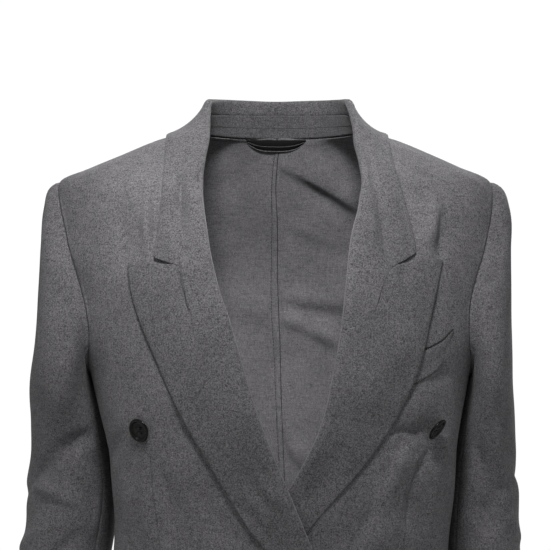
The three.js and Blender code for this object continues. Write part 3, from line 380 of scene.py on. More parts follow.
class Cloth:
    """A piece of cloth as a fine grid: points, outward directions, thickness and places."""

    def __init__(self, node):
        self.node = node
        rows, start = self.of_kind(GRIDS)
        outer, inner = [oriented(grid, rows, start) for grid in two_sheets(*solid_of(node), rows)]
        middle = (outer + inner) / 2
        heart = middle.mean(axis=(0, 1)) + (BEHIND if node.startswith(FORWARD) else 0)
        if ((outer - inner) * unit(middle - heart)).sum() < 0:
            outer, inner = inner, outer
        self.thickness = float(np.median(np.linalg.norm(outer - inner, axis=-1)))
        row_knots, column_knots = knots_of(middle), knots_of(middle.transpose(1, 0, 2))
        self.down = fine_places(middle, row_knots)
        self.across = fine_places(middle.transpose(1, 0, 2), column_knots)

        def refined(field):
            fine = smooth_rows(field, row_knots, self.down)
            return smooth_rows(fine.transpose(1, 0, 2), column_knots, self.across).transpose(1, 0, 2)

        self.points = refined(middle)
        normals = grid_normals(self.points)
        self.sign = 1 if (normals * refined(outer - inner)).sum() > 0 else -1
        self.normals = self.sign * normals

    def push(self, heights):
        """Moves the cloth along its own outward direction."""
        self.points = self.points + self.normals * heights[..., None]
        self.normals = self.sign * grid_normals(self.points)

    def of_kind(self, table, default=None):
        """This piece's row in a table of kinds of piece."""
        return next((row for kind, row in table.items() if self.node.startswith(kind)), default)

    def meet_neighbours(self):
        """Lengthens the piece at its edges, so that it meets its neighbours."""
        grid = self.points
        kinds = self.of_kind(EDGES, {})
        sewn_share = self.of_kind(GORGE, 1.0)
        for side, edge, beside in (("top", grid[0], grid[1]), ("bottom", grid[-1], grid[-2]),
                                   ("first", grid[:, 0], grid[:, 1]), ("last", grid[:, -1], grid[:, -2])):
            runs = np.linalg.norm(np.diff(edge, axis=0), axis=1)
            share = np.concatenate([[0], np.cumsum(runs)]) / runs.sum()
            kind = kinds.get(side, SEAM)
            reach = np.full(len(edge), kind[0])
            if kind is PRESSED and sewn_share < 1:
                free = ease((share - sewn_share + GORGE_FADE) / GORGE_FADE)
                reach = FREE[0] + (PRESSED[0] - FREE[0]) * (1 - free)
            edge += unit(edge - beside) * reach[:, None]

    def edge_distances(self):
        """Distance to each of the four edges, in metres."""
        across, down = np.meshgrid(self.across, self.down)
        return {"top": down, "bottom": self.down[-1] - down,
                "first": across, "last": self.across[-1] - across}

    def sink(self):
        """How far the outside sinks towards each edge."""
        kinds = self.of_kind(EDGES, {})
        return np.maximum.reduce([kinds.get(side, SEAM)[1] * np.exp(-((distance / EDGE_ROUND) ** 2))
                                  for side, distance in self.edge_distances().items()])

    def crest(self):
        """1 along the crest of a tight fold, where it turns to the front, 0 elsewhere: the mask of a
        painted highlight.
        """
        turn = np.linalg.norm(np.gradient(self.normals, axis=1), axis=-1)
        step = np.linalg.norm(np.gradient(self.points, axis=1), axis=-1)
        tight = ease(turn / np.maximum(step, 1e-6) * CREST_RADIUS - 0.5)
        low = ease((CREST_TOP - self.points[..., 2]) / CREST_FADE)
        return low * tight * np.exp(-(((self.normals[..., 1] - CREST_FACING) / CREST_SPREAD) ** 2))

    def at(self, v, u, lift):
        """The point at v down and u across in metres, lifted off the cloth's middle."""
        i = float(np.interp(v, self.down, np.arange(len(self.down))))
        j = float(np.interp(u, self.across, np.arange(len(self.across))))
        i0, j0 = min(int(i), len(self.down) - 2), min(int(j), len(self.across) - 2)
        a, b = i - i0, j - j0

        def blend(field):
            top = field[i0, j0] * (1 - b) + field[i0, j0 + 1] * b
            low = field[i0 + 1, j0] * (1 - b) + field[i0 + 1, j0 + 1] * b
            return top * (1 - a) + low * a

        return blend(self.points) + unit(blend(self.normals)) * lift

    def seen_at(self, x, z):
        """The place (v, u) of the point that is seen at x, z from the front."""
        gap = (self.points[..., 0] - x) ** 2 + (self.points[..., 2] - z) ** 2
        gap[self.normals[..., 1] >= 0] = np.inf
        i, j = np.unravel_index(np.argmin(gap), gap.shape)
        return self.down[i], self.across[j]


# ---------- folds ----------
def fold_height(points, normals, folds):
    """Height of soft folds at every point: ridges and troughs that fade at their ends."""
    height = np.zeros(points.shape[:-1])
    z = points[..., 2] / MM
    for view, rows in folds.items():
        a = points[..., 1 if view == "side" else 0] / MM
        towards = {"front": -normals[..., 1], "back": normals[..., 1],
                   "side": np.abs(normals[..., 0])}[view]
        shown = np.sqrt(np.clip(towards, 0, 1))
        for start, end, width, depth, bend, lean in rows:
            run = np.subtract(end, start)
            length = math.hypot(*run)
            along = ((a - start[0]) * run[0] + (z - start[1]) * run[1]) / length**2
            across = ((a - start[0]) * run[1] - (z - start[1]) * run[0]) / length
            across -= bend * np.sin(np.pi * np.clip(along, 0, 1))
            fade = (ease((along + FOLD_FADE) / (2 * FOLD_FADE))
                    * ease((1 + FOLD_FADE - along) / (2 * FOLD_FADE)))
            # Two swells along a fold make it uneven. It widens on its run, and one flank is steeper.
            uneven = 1 + 0.25 * np.sin(5.3 * along + start[0]) + 0.15 * np.sin(11 * along + end[1])
            reach = width * (0.8 + 0.5 * np.clip(along, 0, 1)) * np.where(across > 0, lean, 1)
            height += depth * np.exp(-((across / reach) ** 2)) * fade * uneven * shown
    return height * MM


def unevenness(points, depth):
    """Very soft waves that no two places share."""
    x, y, z = (points[..., k] / WAVE for k in range(3))
    waves = (np.sin(1.7 * x + 2.3 * z + 0.7) * np.sin(1.1 * y - 1.9 * z + 2.1)
             + np.sin(2.9 * z - 1.3 * x + 4.2) * np.sin(2.1 * x + 1.7 * y + 0.4))
    return 0.5 * depth * waves


def dart_distance(points, path):
    """Distance in millimetres from a dart's seam, beyond its ends too, signed by side."""
    x, z = points[..., 0] / MM, points[..., 2] / MM
    places, heights = zip(*path[::-1])
    gap = x - np.interp(z, heights, places)
    past = np.maximum(z - heights[-1], 0) + np.maximum(heights[0] - z, 0)
    return np.sign(gap + 1e-9) * np.hypot(gap, past)


# ---------- meshes ----------
def new_object(name, vertices, faces, materials):
    mesh = bpy.data.meshes.new(name)
    mesh.from_pydata([tuple(v) for v in vertices], [], faces)
    mesh.validate()
    thing = bpy.data.objects.new(name, mesh)
    bpy.context.scene.collection.objects.link(thing)
    for material in materials:
        mesh.materials.append(material)
    mesh.polygons.foreach_set("use_smooth", [True] * len(mesh.polygons))
    return thing


def shell(cloth, name, materials, marks):
    """A closed thin shell over a grid of cloth. Its first material is outside, its last inside."""
    rows, columns = cloth.points.shape[:2]
    half = cloth.thickness / 2
    sink = cloth.sink()
    outer = cloth.points + cloth.normals * (half - sink)[..., None]
    inner = cloth.points - cloth.normals * (half - INSIDE_SINK * sink)[..., None]
    vertices = np.concatenate([outer.reshape(-1, 3), inner.reshape(-1, 3)])
    far = rows * columns
    index = np.arange(far).reshape(rows, columns)
    quads = np.stack([index[:-1, :-1], index[1:, :-1], index[1:, 1:], index[:-1, 1:]], -1).reshape(-1, 4)
    rim = np.concatenate([index[:, 0], index[-1, 1:], index[-2::-1, -1], index[0, -2:0:-1]])
    after = np.roll(rim, -1)
    walls = np.stack([rim, rim + far, after + far, after], -1)
    if cloth.sign > 0:
        faces = [quads, quads[:, ::-1] + far, walls]
    else:
        faces = [quads[:, ::-1], quads + far, walls[:, ::-1]]
    thing = new_object(name, vertices, np.concatenate(faces).tolist(), materials)
    mesh = thing.data
    behind = [len(materials) - 1] * len(quads)
    mesh.polygons.foreach_set("material_index", [0] * len(quads) + behind + [0] * len(walls))
    places = np.stack(np.meshgrid(cloth.across, cloth.down), -1).reshape(-1, 2)
    places = np.concatenate([places, places])
    uv = mesh.uv_layers.new(name="cloth")
    corners = np.empty(len(mesh.loops), dtype=np.int32)
    mesh.loops.foreach_get("vertex_index", corners)
    uv.data.foreach_set("uv", places[corners].ravel())
    for key, field in marks.items():
        layer = mesh.attributes.new(key, "FLOAT", "POINT")
        layer.data.foreach_set("value", np.tile(field.ravel(), 2).astype(np.float32))
    return thing


def tubes(name, paths, radius, material, sides=6):
    """Thin threads, each along its own list of points, as one object."""
    vertices, faces = [], []
    for path in paths:
        path = [Vector(p) for p in path]
        first = len(vertices)
        for i, point in enumerate(path):
            along = (path[min(i + 1, len(path) - 1)] - path[max(i - 1, 0)]).normalized()
            helper = Vector((0, 0, 1)) if abs(along.z) < 0.9 else Vector((1, 0, 0))
            side = along.cross(helper).normalized()
            up = side.cross(along)
            for k in range(sides):
                turn = 2 * math.pi * k / sides
                vertices.append(point + (side * math.cos(turn) + up * math.sin(turn)) * radius)
        for i in range(len(path) - 1):
            ring = first + i * sides
            for k in range(sides):
                m = (k + 1) % sides
                faces.append([ring + k, ring + m, ring + sides + m, ring + sides + k])
        faces.append([first + k for k in range(sides)][::-1])
        faces.append([len(vertices) - sides + k for k in range(sides)])
    return new_object(name, vertices, faces, [material])


# ---------- materials ----------
TINT = (1.0, 0.965, 1.02)       # the cloth's grey leans slightly to violet
MOTTLE, MOTTLE_SHARE = 0.3, 0.14  # coarse mottling: its scale, times the grain, and share of speckle
DARK_SHARE = 0.52               # dark fibres differ from the shade by so much less than light ones
CLOUDS = 24.0                   # scale of the slow changes of shade
# Single pale fibres: scale, times the grain, how much they show, and shade, times the wool's.
FLECKS, FLECK_SHARE, FLECK_SHADE = 1.15, 0.5, 3.2
HIGHLIGHT_SHARE, HIGHLIGHT_SHADE = 0.9, 3.0   # the same of the highlight painted along fold crests
# Painted shade along a dart's seam darkens the cloth down to this share, within a width in millimetres,
# and the dart draws it in.
DART_SHADE, DART_LINE, DART_DIP = 0.72, 1.5, 4.0


def nodes_of(name):
    material = bpy.data.materials.new(name)
    material.use_nodes = True
    tree = material.node_tree
    return material, tree, tree.nodes["Principled BSDF"]


def add_node(tree, kind, inputs=None, **settings):
    node = tree.nodes.new(kind)
    for key, value in settings.items():
        setattr(node, key, value)
    for key, value in (inputs or {}).items():
        if isinstance(value, bpy.types.NodeSocket):
            tree.links.new(value, node.inputs[key])
        else:
            node.inputs[key].default_value = value
    return node


def object_place(tree):
    return add_node(tree, "ShaderNodeTexCoord").outputs["Object"]


def math_node(tree, operation, a, b=0.0):
    return add_node(tree, "ShaderNodeMath", {0: a, 1: b}, operation=operation).outputs[0]


def mix_value(tree, first, second, share):
    """The mean of two values, with the second one's share."""
    return math_node(tree, "ADD", math_node(tree, "MULTIPLY", first, 1 - share),
                     math_node(tree, "MULTIPLY", second, share))


def mix_colour(tree, first, second, factor=1.0, blend="MIX"):
    return add_node(tree, "ShaderNodeMix", {0: factor, 6: first, 7: second},
                    data_type="RGBA", blend_type=blend).outputs[2]


def ramp(tree, value, low, high):
    """Colours between two stops. Each is a place on the value's scale and a grey or a colour."""
    node = add_node(tree, "ShaderNodeValToRGB", {"Fac": value})
    for element, (place, shade) in zip(node.color_ramp.elements, (low, high)):
        element.position = place
        element.color = (*np.broadcast_to(shade, 3), 1)
    return node.outputs["Color"]


def noise(tree, vector, scale, detail=2.0, roughness=0.5, stretch=(1, 1, 1)):
    mapping = add_node(tree, "ShaderNodeMapping", {"Vector": vector, "Scale": stretch})
    return add_node(tree, "ShaderNodeTexNoise", {
        "Vector": mapping.outputs[0], "Scale": scale, "Detail": detail,
        "Roughness": roughness}).outputs["Fac"]


def dress(tree, shader, colour, height, strength, distance, numbers):
    """Gives a shader its colour, its bump, and the numbers that are the same all over."""
    bump = add_node(tree, "ShaderNodeBump",
                    {"Strength": strength, "Distance": distance, "Height": height})
    tree.links.new(colour, shader.inputs["Base Color"])
    tree.links.new(bump.outputs[0], shader.inputs["Normal"])
    for key, number in numbers.items():
        shader.inputs[key].default_value = number


def tinted(shade):
    return [*(channel * shade for channel in TINT), 1]


def wool(name, shade, contrast, grain, weave, threads_share, mark=None):
    """Melange wool: light and dark fibres, a fine weave under a soft nap, slow changes of shade.

    Grain and weave are scales. A mark is an attribute of the mesh: dart, a distance that gives painted
    shade along a dart's seam, or crest, the mask of a painted highlight.
    """
    material, tree, shader = nodes_of(name)
    place = object_place(tree)
    fibres = noise(tree, place, grain, detail=3.0, roughness=0.7)
    mottle = noise(tree, place, grain * MOTTLE)
    warp = noise(tree, place, weave, detail=1.5, stretch=(1, 1, 0.1))
    weft = noise(tree, place, weave, detail=1.5, stretch=(0.1, 0.1, 1))
    threads = mix_value(tree, warp, weft, 0.5)
    speckle = mix_value(tree, fibres, mottle, MOTTLE_SHARE)
    tone = ramp(tree, mix_value(tree, speckle, threads, threads_share), (0.38, 0.0), (0.62, 1.0))
    dark, light = tinted(shade * (1 - DARK_SHARE * contrast)), tinted(shade * (1 + contrast))
    colour = mix_colour(tree, dark, light, tone)
    flecks = ramp(tree, noise(tree, place, grain * FLECKS, detail=1.0), (0.6, 0.0), (0.72, 1.0))
    flecks = math_node(tree, "MULTIPLY", flecks, FLECK_SHARE * contrast)
    colour = mix_colour(tree, colour, tinted(shade * FLECK_SHADE), flecks)
    clouds = ramp(tree, noise(tree, place, CLOUDS), (0.3, 0.9), (0.7, 1.1))
    colour = mix_colour(tree, colour, clouds, blend="MULTIPLY")
    height = math_node(tree, "ADD", fibres, threads)
    if mark:
        field = add_node(tree, "ShaderNodeAttribute", attribute_name=mark).outputs["Fac"]
    if mark == "dart":
        # Painted shade along the dart's seam, and a dip in the bump beside it.
        away = math_node(tree, "ABSOLUTE", field)
        line = ramp(tree, math_node(tree, "DIVIDE", away, DART_LINE), (0.0, DART_SHADE), (1.0, 1.0))
        colour = mix_colour(tree, colour, line, blend="MULTIPLY")
        dip = ramp(tree, math_node(tree, "DIVIDE", away, DART_DIP), (0.0, 0.0), (1.0, 1.0))
        height = math_node(tree, "ADD", height, math_node(tree, "MULTIPLY", dip, 2.0))
    # Painted highlight: a pale line along tight fold crests, where the cloth catches the light.
    if mark == "crest":
        painted_highlight = math_node(tree, "MULTIPLY", field, HIGHLIGHT_SHARE)
        colour = mix_colour(tree, colour, tinted(shade * HIGHLIGHT_SHADE), painted_highlight)
    dress(tree, shader, colour, height, 0.25, 0.5 * MM, {
        "Roughness": 0.95, "Specular IOR Level": 0.1, "Sheen Weight": 0.1, "Sheen Roughness": 0.6})
    return material


def braid_material():
    """Black woven tape with a fine rib and a slight sheen."""
    material, tree, shader = nodes_of("loop_braid")
    cloth = add_node(tree, "ShaderNodeUVMap", uv_map="cloth").outputs[0]
    rib = add_node(tree, "ShaderNodeTexWave", {"Vector": cloth, "Scale": 260.0, "Distortion": 0.6},
                   bands_direction="X").outputs["Fac"]
    dress(tree, shader, ramp(tree, rib, (0.2, 0.002), (0.8, 0.009)), rib, 0.5, 0.3 * MM,
          {"Roughness": 0.75, "Specular IOR Level": 0.2})
    return material


def horn_material():
    """Polished dark horn with faint brown streaks."""
    material, tree, shader = nodes_of("button_horn")
    streaks = noise(tree, object_place(tree), 160.0, detail=3.0, stretch=(1, 1, 5))
    colour = ramp(tree, streaks, (0.35, (0.0015, 0.0013, 0.0011)), (0.75, (0.012, 0.0085, 0.006)))
    dress(tree, shader, colour, streaks, 0.12, 0.3 * MM, {
        "Roughness": 0.2, "Specular IOR Level": 0.25, "Coat Weight": 0.15, "Coat Roughness": 0.15})
    return material


def thread_material(name, shade):
    """Twisted sewing thread, also laid as lines of painted shade and highlight."""
    material, tree, shader = nodes_of(name)
    twist = noise(tree, object_place(tree), 3000.0, detail=1.0)
    dress(tree, shader, ramp(tree, twist, (0.3, shade * 0.6), (0.7, shade * 1.3)), twist,
          0.4, 0.1 * MM, {"Roughness": 0.7})
    return material


outside = wool("flannel_outside", 0.12, 1.1, 800.0, 900.0, 0.2)
outside_dart = wool("flannel_with_dart", 0.12, 1.1, 800.0, 900.0, 0.2, mark="dart")
facing = wool("flannel_facing", 0.1, 1.05, 740.0, 860.0, 0.15, mark="crest")
# Painted light: the inside's shade is set above the outside's, standing in for light that the blazer's own
# shade keeps off it; its finer, plainer weave is its own.
inside = wool("flannel_inside", 0.14, 0.75, 1000.0, 1100.0, 0.4)
# Painted shade: the collar stand is the same flannel, darkened for the shade it stands in.
shaded_stand_cloth = wool("flannel_stand_painted_shade", 0.082, 0.9, 800.0, 900.0, 0.2)
braid = braid_material()
horn = horn_material()
grey_thread_and_painted_lines = thread_material("grey_thread_and_painted_lines", 0.07)
dark_thread_and_painted_shadow = thread_material("dark_thread_and_painted_shadow", 0.02)


# ---------- the pieces of cloth ----------
WELT_SINK = (0.3, 1.3)          # millimetres by which the welt sinks: at its top edge, and more below
WELT_SLOPE = 1.4                # the higher, the nearer to its top edge it is sunk in full
WELT_SAG = 4.5 * MM             # how far it hangs below its outer end
WELT_BEND = 0.84                # share of its length where it starts to rise to that end
LOOP_END, LOOP_DEPTH = 1.2, 10.4  # millimetres: height of the hanger loop at its ends and in the middle
LOOP_BOWL = 3.2                 # the higher, the fuller the bowl of its lower edge
LOOP_RISE = 1.6 * MM            # how far its straight top stands above its solid's

cloths = {}


def make_cloth(node, materials, waves=1.1, shape=None):
    """Dresses a solid of cloth. Its soft waves are so many millimetres high."""
    cloth = cloths[node] = Cloth(node)
    if shape:
        shape(cloth)
    heights = fold_height(cloth.points, cloth.normals, FOLDS.get(node, {}))
    heights += unevenness(cloth.points, waves * MM)
    to_edge = np.minimum.reduce(list(cloth.edge_distances().values()))
    cloth.push(heights * ease(to_edge / FOLD_HOLD))
    cloth.meet_neighbours()
    marks = {}
    # The facing gets a painted highlight along its tight fold crests.
    if facing in materials:
        marks["crest"] = cloth.crest()
    # The dart's distance gives the painted shade along its seam and its dip.
    if node in DARTS:
        marks["dart"] = dart_distance(cloth.points, DARTS[node])
    thing = shell(cloth, f"cloth_{node}", materials, marks)
    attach(thing, "root")
    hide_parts(node)


def flatten_welt(cloth):
    """Sinks the welt into its front, least at its top edge, where the pocket opens, and curves it."""
    share = cloth.edge_distances()["top"] / cloth.down[-1]
    cloth.push(-(WELT_SINK[0] + WELT_SINK[1] * ease(share * WELT_SLOPE)) * MM)
    along = cloth.across / cloth.across[-1]
    cloth.points[..., 2] -= WELT_SAG * (1 - ease((along - WELT_BEND) / (1 - WELT_BEND)))


def curve_loop(cloth):
    """Gives the hanger loop its straight top and its bowl-shaped lower edge."""
    x = cloth.points[..., 0]
    bowl = 1 - np.abs((2 * x - x.max() - x.min()) / np.ptp(x)) ** LOOP_BOWL
    share = (cloth.down / cloth.down[-1])[:, None]
    top = cloth.points[0, :, 2].mean() + LOOP_RISE
    cloth.points[..., 2] = top - share * (LOOP_END + (LOOP_DEPTH - LOOP_END) * bowl) * MM


for side in ("right", "left"):
    make_cloth(f"front_{side}", [outside_dart, inside], waves=1.7)
    make_cloth(f"back_{side}", [outside, inside])
    make_cloth(f"sleeve_upper_{side}", [outside, inside])
    make_cloth(f"sleeve_under_{side}", [outside, inside])
    make_cloth(f"lapel_{side}", [facing, facing], waves=0.6)
make_cloth("collar_fall", [facing, facing], waves=0.6)
# The stand wears the flannel darkened with painted shade.
make_cloth("collar_stand", [shaded_stand_cloth, shaded_stand_cloth], waves=0.1)
make_cloth("chest_welt", [outside, inside], waves=0.1, shape=flatten_welt)
make_cloth("hanger_loop", [braid], waves=0.05, shape=curve_loop)


# ---------- sewing, and threads of painted shade and highlight ---
STITCH_RISE = 0.25 * MM         # how far stitches lie off the cloth
STITCH_STEPS = (0, 0.12, 0.5, 0.88, 1)
STRIP_WIDTH, STRIP_RISE = 4.6 * MM, 0.7 * MM  # seam allowance inside the centre back
# Its section: share of its width from the seam, and share of its rise.
STRIP_SECTION = ((0.0, 0.1), (0.1, 0.8), (0.3, 1.0), (0.7, 1.0), (0.92, 0.75), (1.0, 0.0))
STRIP_LAP = 0.48 * MM           # how far it reaches over the seam
STRIP_START, STRIP_END, STRIP_ROWS = 5 * MM, 1.5 * MM, 240
BUTTONHOLE = 27 * MM            # length of the slit
HOLE_STITCH = ((0.3, 0.1), (1.0, 0.35), (1.9, 0.0))  # millimetres: a stitch's steps off the slit, and rise
HOLE_STITCH_STEP = 0.8 * MM


# Adds stitches, buttons and the threads of painted shade and highlight to the blazer.
def attach_to_blazer(thing):
    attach(thing, "root")


def line_down(cloth, u, start=0.0, end=1.0, count=120):
    """Places (v, u) down a piece, u from its first column, between two shares of its length."""
    return [(cloth.down[-1] * share, u) for share in np.linspace(start, end, count)]


def line_across(cloth, v, start, end, count):
    """Places (v, u) across a piece at v, from start after its first edge to end before its last."""
    return [(v, u) for u in np.linspace(start, cloth.across[-1] - end, count)]


def line_on(cloth, places, lift, shift=(0, 0, 0)):
    """The points of a line on a piece, lifted off its middle, and shifted by millimetres."""
    return [cloth.at(v, u, lift) + np.array(shift) * MM for v, u in places]


def stitch_paths(cloth, places, length, gap):
    """Paths of running stitches along a line on a piece's inside."""
    lift = -(cloth.thickness / 2 + STITCH_RISE)
    runs = np.linalg.norm(np.diff(line_on(cloth, places, 0.0), axis=0), axis=1)
    marks = np.concatenate([[0], np.cumsum(runs)])
    down, across = zip(*places)
    return [[cloth.at(np.interp(start + t * length, marks, down),
                      np.interp(start + t * length, marks, across), lift) for t in STITCH_STEPS]
            for start in np.arange(0, marks[-1] - length, length + gap)]


def seam_strip(cloth):
    """The seam allowance of the centre back, felled to one side of the seam on the inside."""
    vertices, places = [], []
    for v in np.linspace(STRIP_START, cloth.down[-1] - STRIP_END, STRIP_ROWS):
        for share, rise in STRIP_SECTION:
            u = share * STRIP_WIDTH - STRIP_LAP
            point = cloth.at(v, max(u, 0.0), -(cloth.thickness / 2 + STRIP_RISE * rise))
            vertices.append(point + np.array([max(-u, 0.0), 0, 0]))
            places.append((u, v))
    count = len(STRIP_SECTION)
    faces = [[a, a + 1, a + count + 1, a + count]
             for row in range(STRIP_ROWS - 1) for a in range(row * count, (row + 1) * count - 1)]
    thing = new_object("seam_strip_centre_back", vertices, faces, [inside])
    uv = thing.data.uv_layers.new(name="cloth")
    for corner in thing.data.loops:
        uv.data[corner.index].uv = places[corner.vertex_index]
    return thing


back = cloths["back_right"]
attach_to_blazer(seam_strip(back))
felling = stitch_paths(back, line_down(back, STRIP_WIDTH + 0.2 * MM), length=2.4 * MM, gap=1.1 * MM)
attach_to_blazer(tubes("stitches_centre_back", felling, 0.28 * MM, dark_thread_and_painted_shadow, sides=5))
# Painted shadow: a dark thread laid along the centre back seam, where the felled strip's edge casts shade.
seam_shadow_line = line_on(back, line_down(back, 0.0, 0.01, 0.99), -(back.thickness / 2 + 0.15 * MM), (0.45, 0, 0))
attach_to_blazer(tubes("seam_shadow_centre_back", [seam_shadow_line], 0.42 * MM, dark_thread_and_painted_shadow, sides=5))

stand = cloths["collar_stand"]
stand_line = [(v, stand.across[-1] * 0.45) for v in np.linspace(10 * MM, stand.down[-1] - 10 * MM, 60)]
standing = stitch_paths(stand, stand_line, length=2.6 * MM, gap=1.2 * MM)
attach_to_blazer(tubes("stitches_collar_stand", standing, 0.2 * MM, grey_thread_and_painted_lines, sides=5))

welt = cloths["chest_welt"]
# Painted shadow: a dark thread along the welt's top edge stands for the shade in the pocket's opening.
mouth_shadow = line_on(welt, line_across(welt, 0.0, 2 * MM, 1 * MM, 30), 0.3 * MM, (0, 0, 0.7))
# Painted shade: a grey thread along the welt's foot, for the dark line where it meets the front.
welt_foot_shade = line_on(welt, line_across(welt, welt.down[-1], 2 * MM, 3 * MM, 30), 0.5 * MM, (0, 0, -0.3))
attach_to_blazer(tubes("pocket_mouth_shadow", [mouth_shadow], 0.6 * MM, dark_thread_and_painted_shadow))
attach_to_blazer(tubes("welt_foot_shade", [welt_foot_shade], 0.34 * MM, grey_thread_and_painted_lines))

hanger = cloths["hanger_loop"]
# Painted highlight: a grey thread across the black hanger loop, for the line where its edge catches the
# light.
loop_highlight_line = line_on(hanger, line_across(hanger, hanger.down[-1] * 0.62, 1.5 * MM, 1.5 * MM, 40),
                    hanger.thickness / 2 + 0.1 * MM)
rim_line = line_on(hanger, line_across(hanger, hanger.down[-1], 0.0, 0.0, 40), -0.6 * MM, (0, 0, -0.5))
attach_to_blazer(tubes("loop_painted_highlight", [loop_highlight_line], 0.45 * MM, grey_thread_and_painted_lines))
attach_to_blazer(tubes("loop_rim", [rim_line], 0.7 * MM, facing))


# ---------- buttons ----------
# A button's section from its foot round its rim into its dish: shares of its radius and thickness.
BUTTON_SECTION = ((0, 0), (0.55, 0), (0.82, 0.16), (0.97, 0.45), (1, 0.62), (0.985, 0.82), (0.93, 0.98),
                  (0.86, 1), (0.78, 0.94), (0.73, 0.66), (0.66, 0.46), (0.52, 0.48), (0.34, 0.6),
                  (0, 0.62))
BUTTON_SIDES, HOLE_SIDES, SHANK_STRANDS = 56, 16, 5
# Holes, thread and the shank below, in shares of the radius.
HOLE_PLACE, HOLE_RADIUS, STRAND_RADIUS, STRAND_GAP, SHANK_RADIUS = 0.2, 0.085, 0.035, 0.055, 0.06
# The thread's arch: foot and rise in shares of the thickness, more rise in shares of the radius.
ARCH_FOOT, ARCH_RISE, ARCH_MORE, ARCH_STEEPNESS = 0.35, 0.25, 0.05, 2.2
SHANK_SECTION = ((1, -0.35), (0.6, -0.1), (1, 0.15))  # shares of its radius and of the thickness


def button_place(node):
    """Foot, outward axis, radius and thickness of a CAD button."""
    points = solid_of(node)[0]
    centre = (points.max(axis=0) + points.min(axis=0)) / 2
    axis = np.linalg.eigh(np.cov((points - points.mean(axis=0)).T))[1][:, 0]
    axis = axis if axis[1] < 0 else -axis
    heights = (points - centre) @ axis
    radius = np.linalg.norm(points - centre - heights[:, None] * axis, axis=1).max()
    return Vector(centre + axis * heights.min()), Vector(axis), float(radius), float(np.ptp(heights))


def put_in_scene(name, mesh):
    """A new object with the mesh of a finished bmesh."""
    data = bpy.data.meshes.new(name)
    mesh.to_mesh(data)
    mesh.free()
    thing = bpy.data.objects.new(name, data)
    bpy.context.scene.collection.objects.link(thing)
    return thing


def lathe(section, sides):
    """Rings of points turned round the Z axis, from the axis at one end to the axis at the other."""
    mesh = bmesh.new()
    rings = []
    for radius, height in section:
        turns = [2 * math.pi * k / sides for k in range(sides if radius else 1)]
        rings.append([mesh.verts.new((radius * math.cos(t), radius * math.sin(t), height)) for t in turns])
    for low, high in zip(rings, rings[1:]):
        for k in range(sides):
            m = (k + 1) % sides
            corners = [low[k % len(low)], low[m % len(low)], high[m % len(high)], high[k % len(high)]]
            mesh.faces.new(list(dict.fromkeys(corners)))
    return mesh


def button_object(name, radius, thick):
    """A dished button with a raised rim and four holes, foot at the origin, facing +Z."""
    section = [(radius * out, thick * up) for out, up in BUTTON_SECTION]
    thing = put_in_scene(name, lathe(section, BUTTON_SIDES))
    drills = bmesh.new()
    for x, y in SQUARE:
        ends = bmesh.ops.create_cone(drills, cap_ends=True, segments=HOLE_SIDES, depth=thick * 4,
                                     radius1=radius * HOLE_RADIUS, radius2=radius * HOLE_RADIUS)
        place = (x * HOLE_PLACE * radius, y * HOLE_PLACE * radius, 0)
        bmesh.ops.translate(drills, verts=ends["verts"], vec=place)
    cutter = put_in_scene("drills", drills)
    cut = thing.modifiers.new("holes", "BOOLEAN")
    cut.object = cutter
    cut.solver = "EXACT"
    bpy.context.view_layer.update()
    solid = bpy.data.meshes.new_from_object(thing.evaluated_get(bpy.context.evaluated_depsgraph_get()))
    thing.modifiers.clear()
    thing.data = solid
    bpy.data.objects.remove(cutter)
    solid.materials.clear()
    solid.materials.append(horn)
    solid.polygons.foreach_set("use_smooth", [True] * len(solid.polygons))
    return thing


def button_thread(name, radius, thick):
    """Two bars of thread between the holes, each of three strands, and the shank below."""
    strands = []
    for y in (HOLE_PLACE, -HOLE_PLACE):
        for shift in (-STRAND_GAP, 0.0, STRAND_GAP):
            path = []
            for t in np.linspace(0, 1, 9):
                arch = math.sin(math.pi * t)
                rise = (thick * ARCH_RISE + radius * ARCH_MORE) * min(1, arch * ARCH_STEEPNESS)
                path.append((HOLE_PLACE * (1 - 2 * t) * radius, (y + shift * arch) * radius,
                             thick * ARCH_FOOT + rise))
            strands.append(path)
    for turn in np.linspace(0, 2 * math.pi, SHANK_STRANDS, endpoint=False):
        x, y = (radius * SHANK_RADIUS * f(turn) for f in (math.cos, math.sin))
        strands.append([(x * out, y * out, thick * up) for out, up in SHANK_SECTION])
    return tubes(name, strands, radius * STRAND_RADIUS, dark_thread_and_painted_shadow)


for node in ("button_right_show", "button_left_show", "button_right_lower", "button_left_closing"):
    foot, axis, radius, thick = button_place(node)
    button = button_object(f"dressed_{node}", radius, thick)
    sewing = button_thread(f"thread_{node}", radius, thick)
    for thing in (button, sewing):
        thing.rotation_mode = "QUATERNION"
        thing.rotation_quaternion = axis.to_track_quat("Z", "Y")
        thing.location = foot
    bpy.context.view_layer.update()
    attach_to_blazer(button)
    attach_to_blazer(sewing)
    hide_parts(node)

# The buttonhole under the closing button, in the front that lies on top.
front = cloths["front_right"]
closing = button_place("button_left_closing")[0]
hole_v, hole_u = front.seen_at(closing.x, closing.z)
hole_start, hole_end = hole_u - BUTTONHOLE / 2, hole_u + BUTTONHOLE / 2
slit = line_on(front, [(hole_v, u) for u in np.linspace(hole_start, hole_end, 24)], front.thickness / 2)
attach_to_blazer(tubes("buttonhole_slit", [slit], 0.5 * MM, dark_thread_and_painted_shadow))
rims = [[front.at(hole_v + side * step * MM, u, front.thickness / 2 + rise * MM)
         for step, rise in HOLE_STITCH]
        for side in (-1, 1) for u in np.arange(hole_start, hole_end, HOLE_STITCH_STEP)]
attach_to_blazer(tubes("buttonhole_stitches", rims, 0.36 * MM, grey_thread_and_painted_lines, sides=5))


# ---------- studio ----------
CAMERA_DISTANCE = 3.0
CAMERA_X, CAMERA_Z = -0.002, -0.142
VIEW_WIDTH = 0.55               # the picture's width at the origin's depth
SENSOR = 36.0
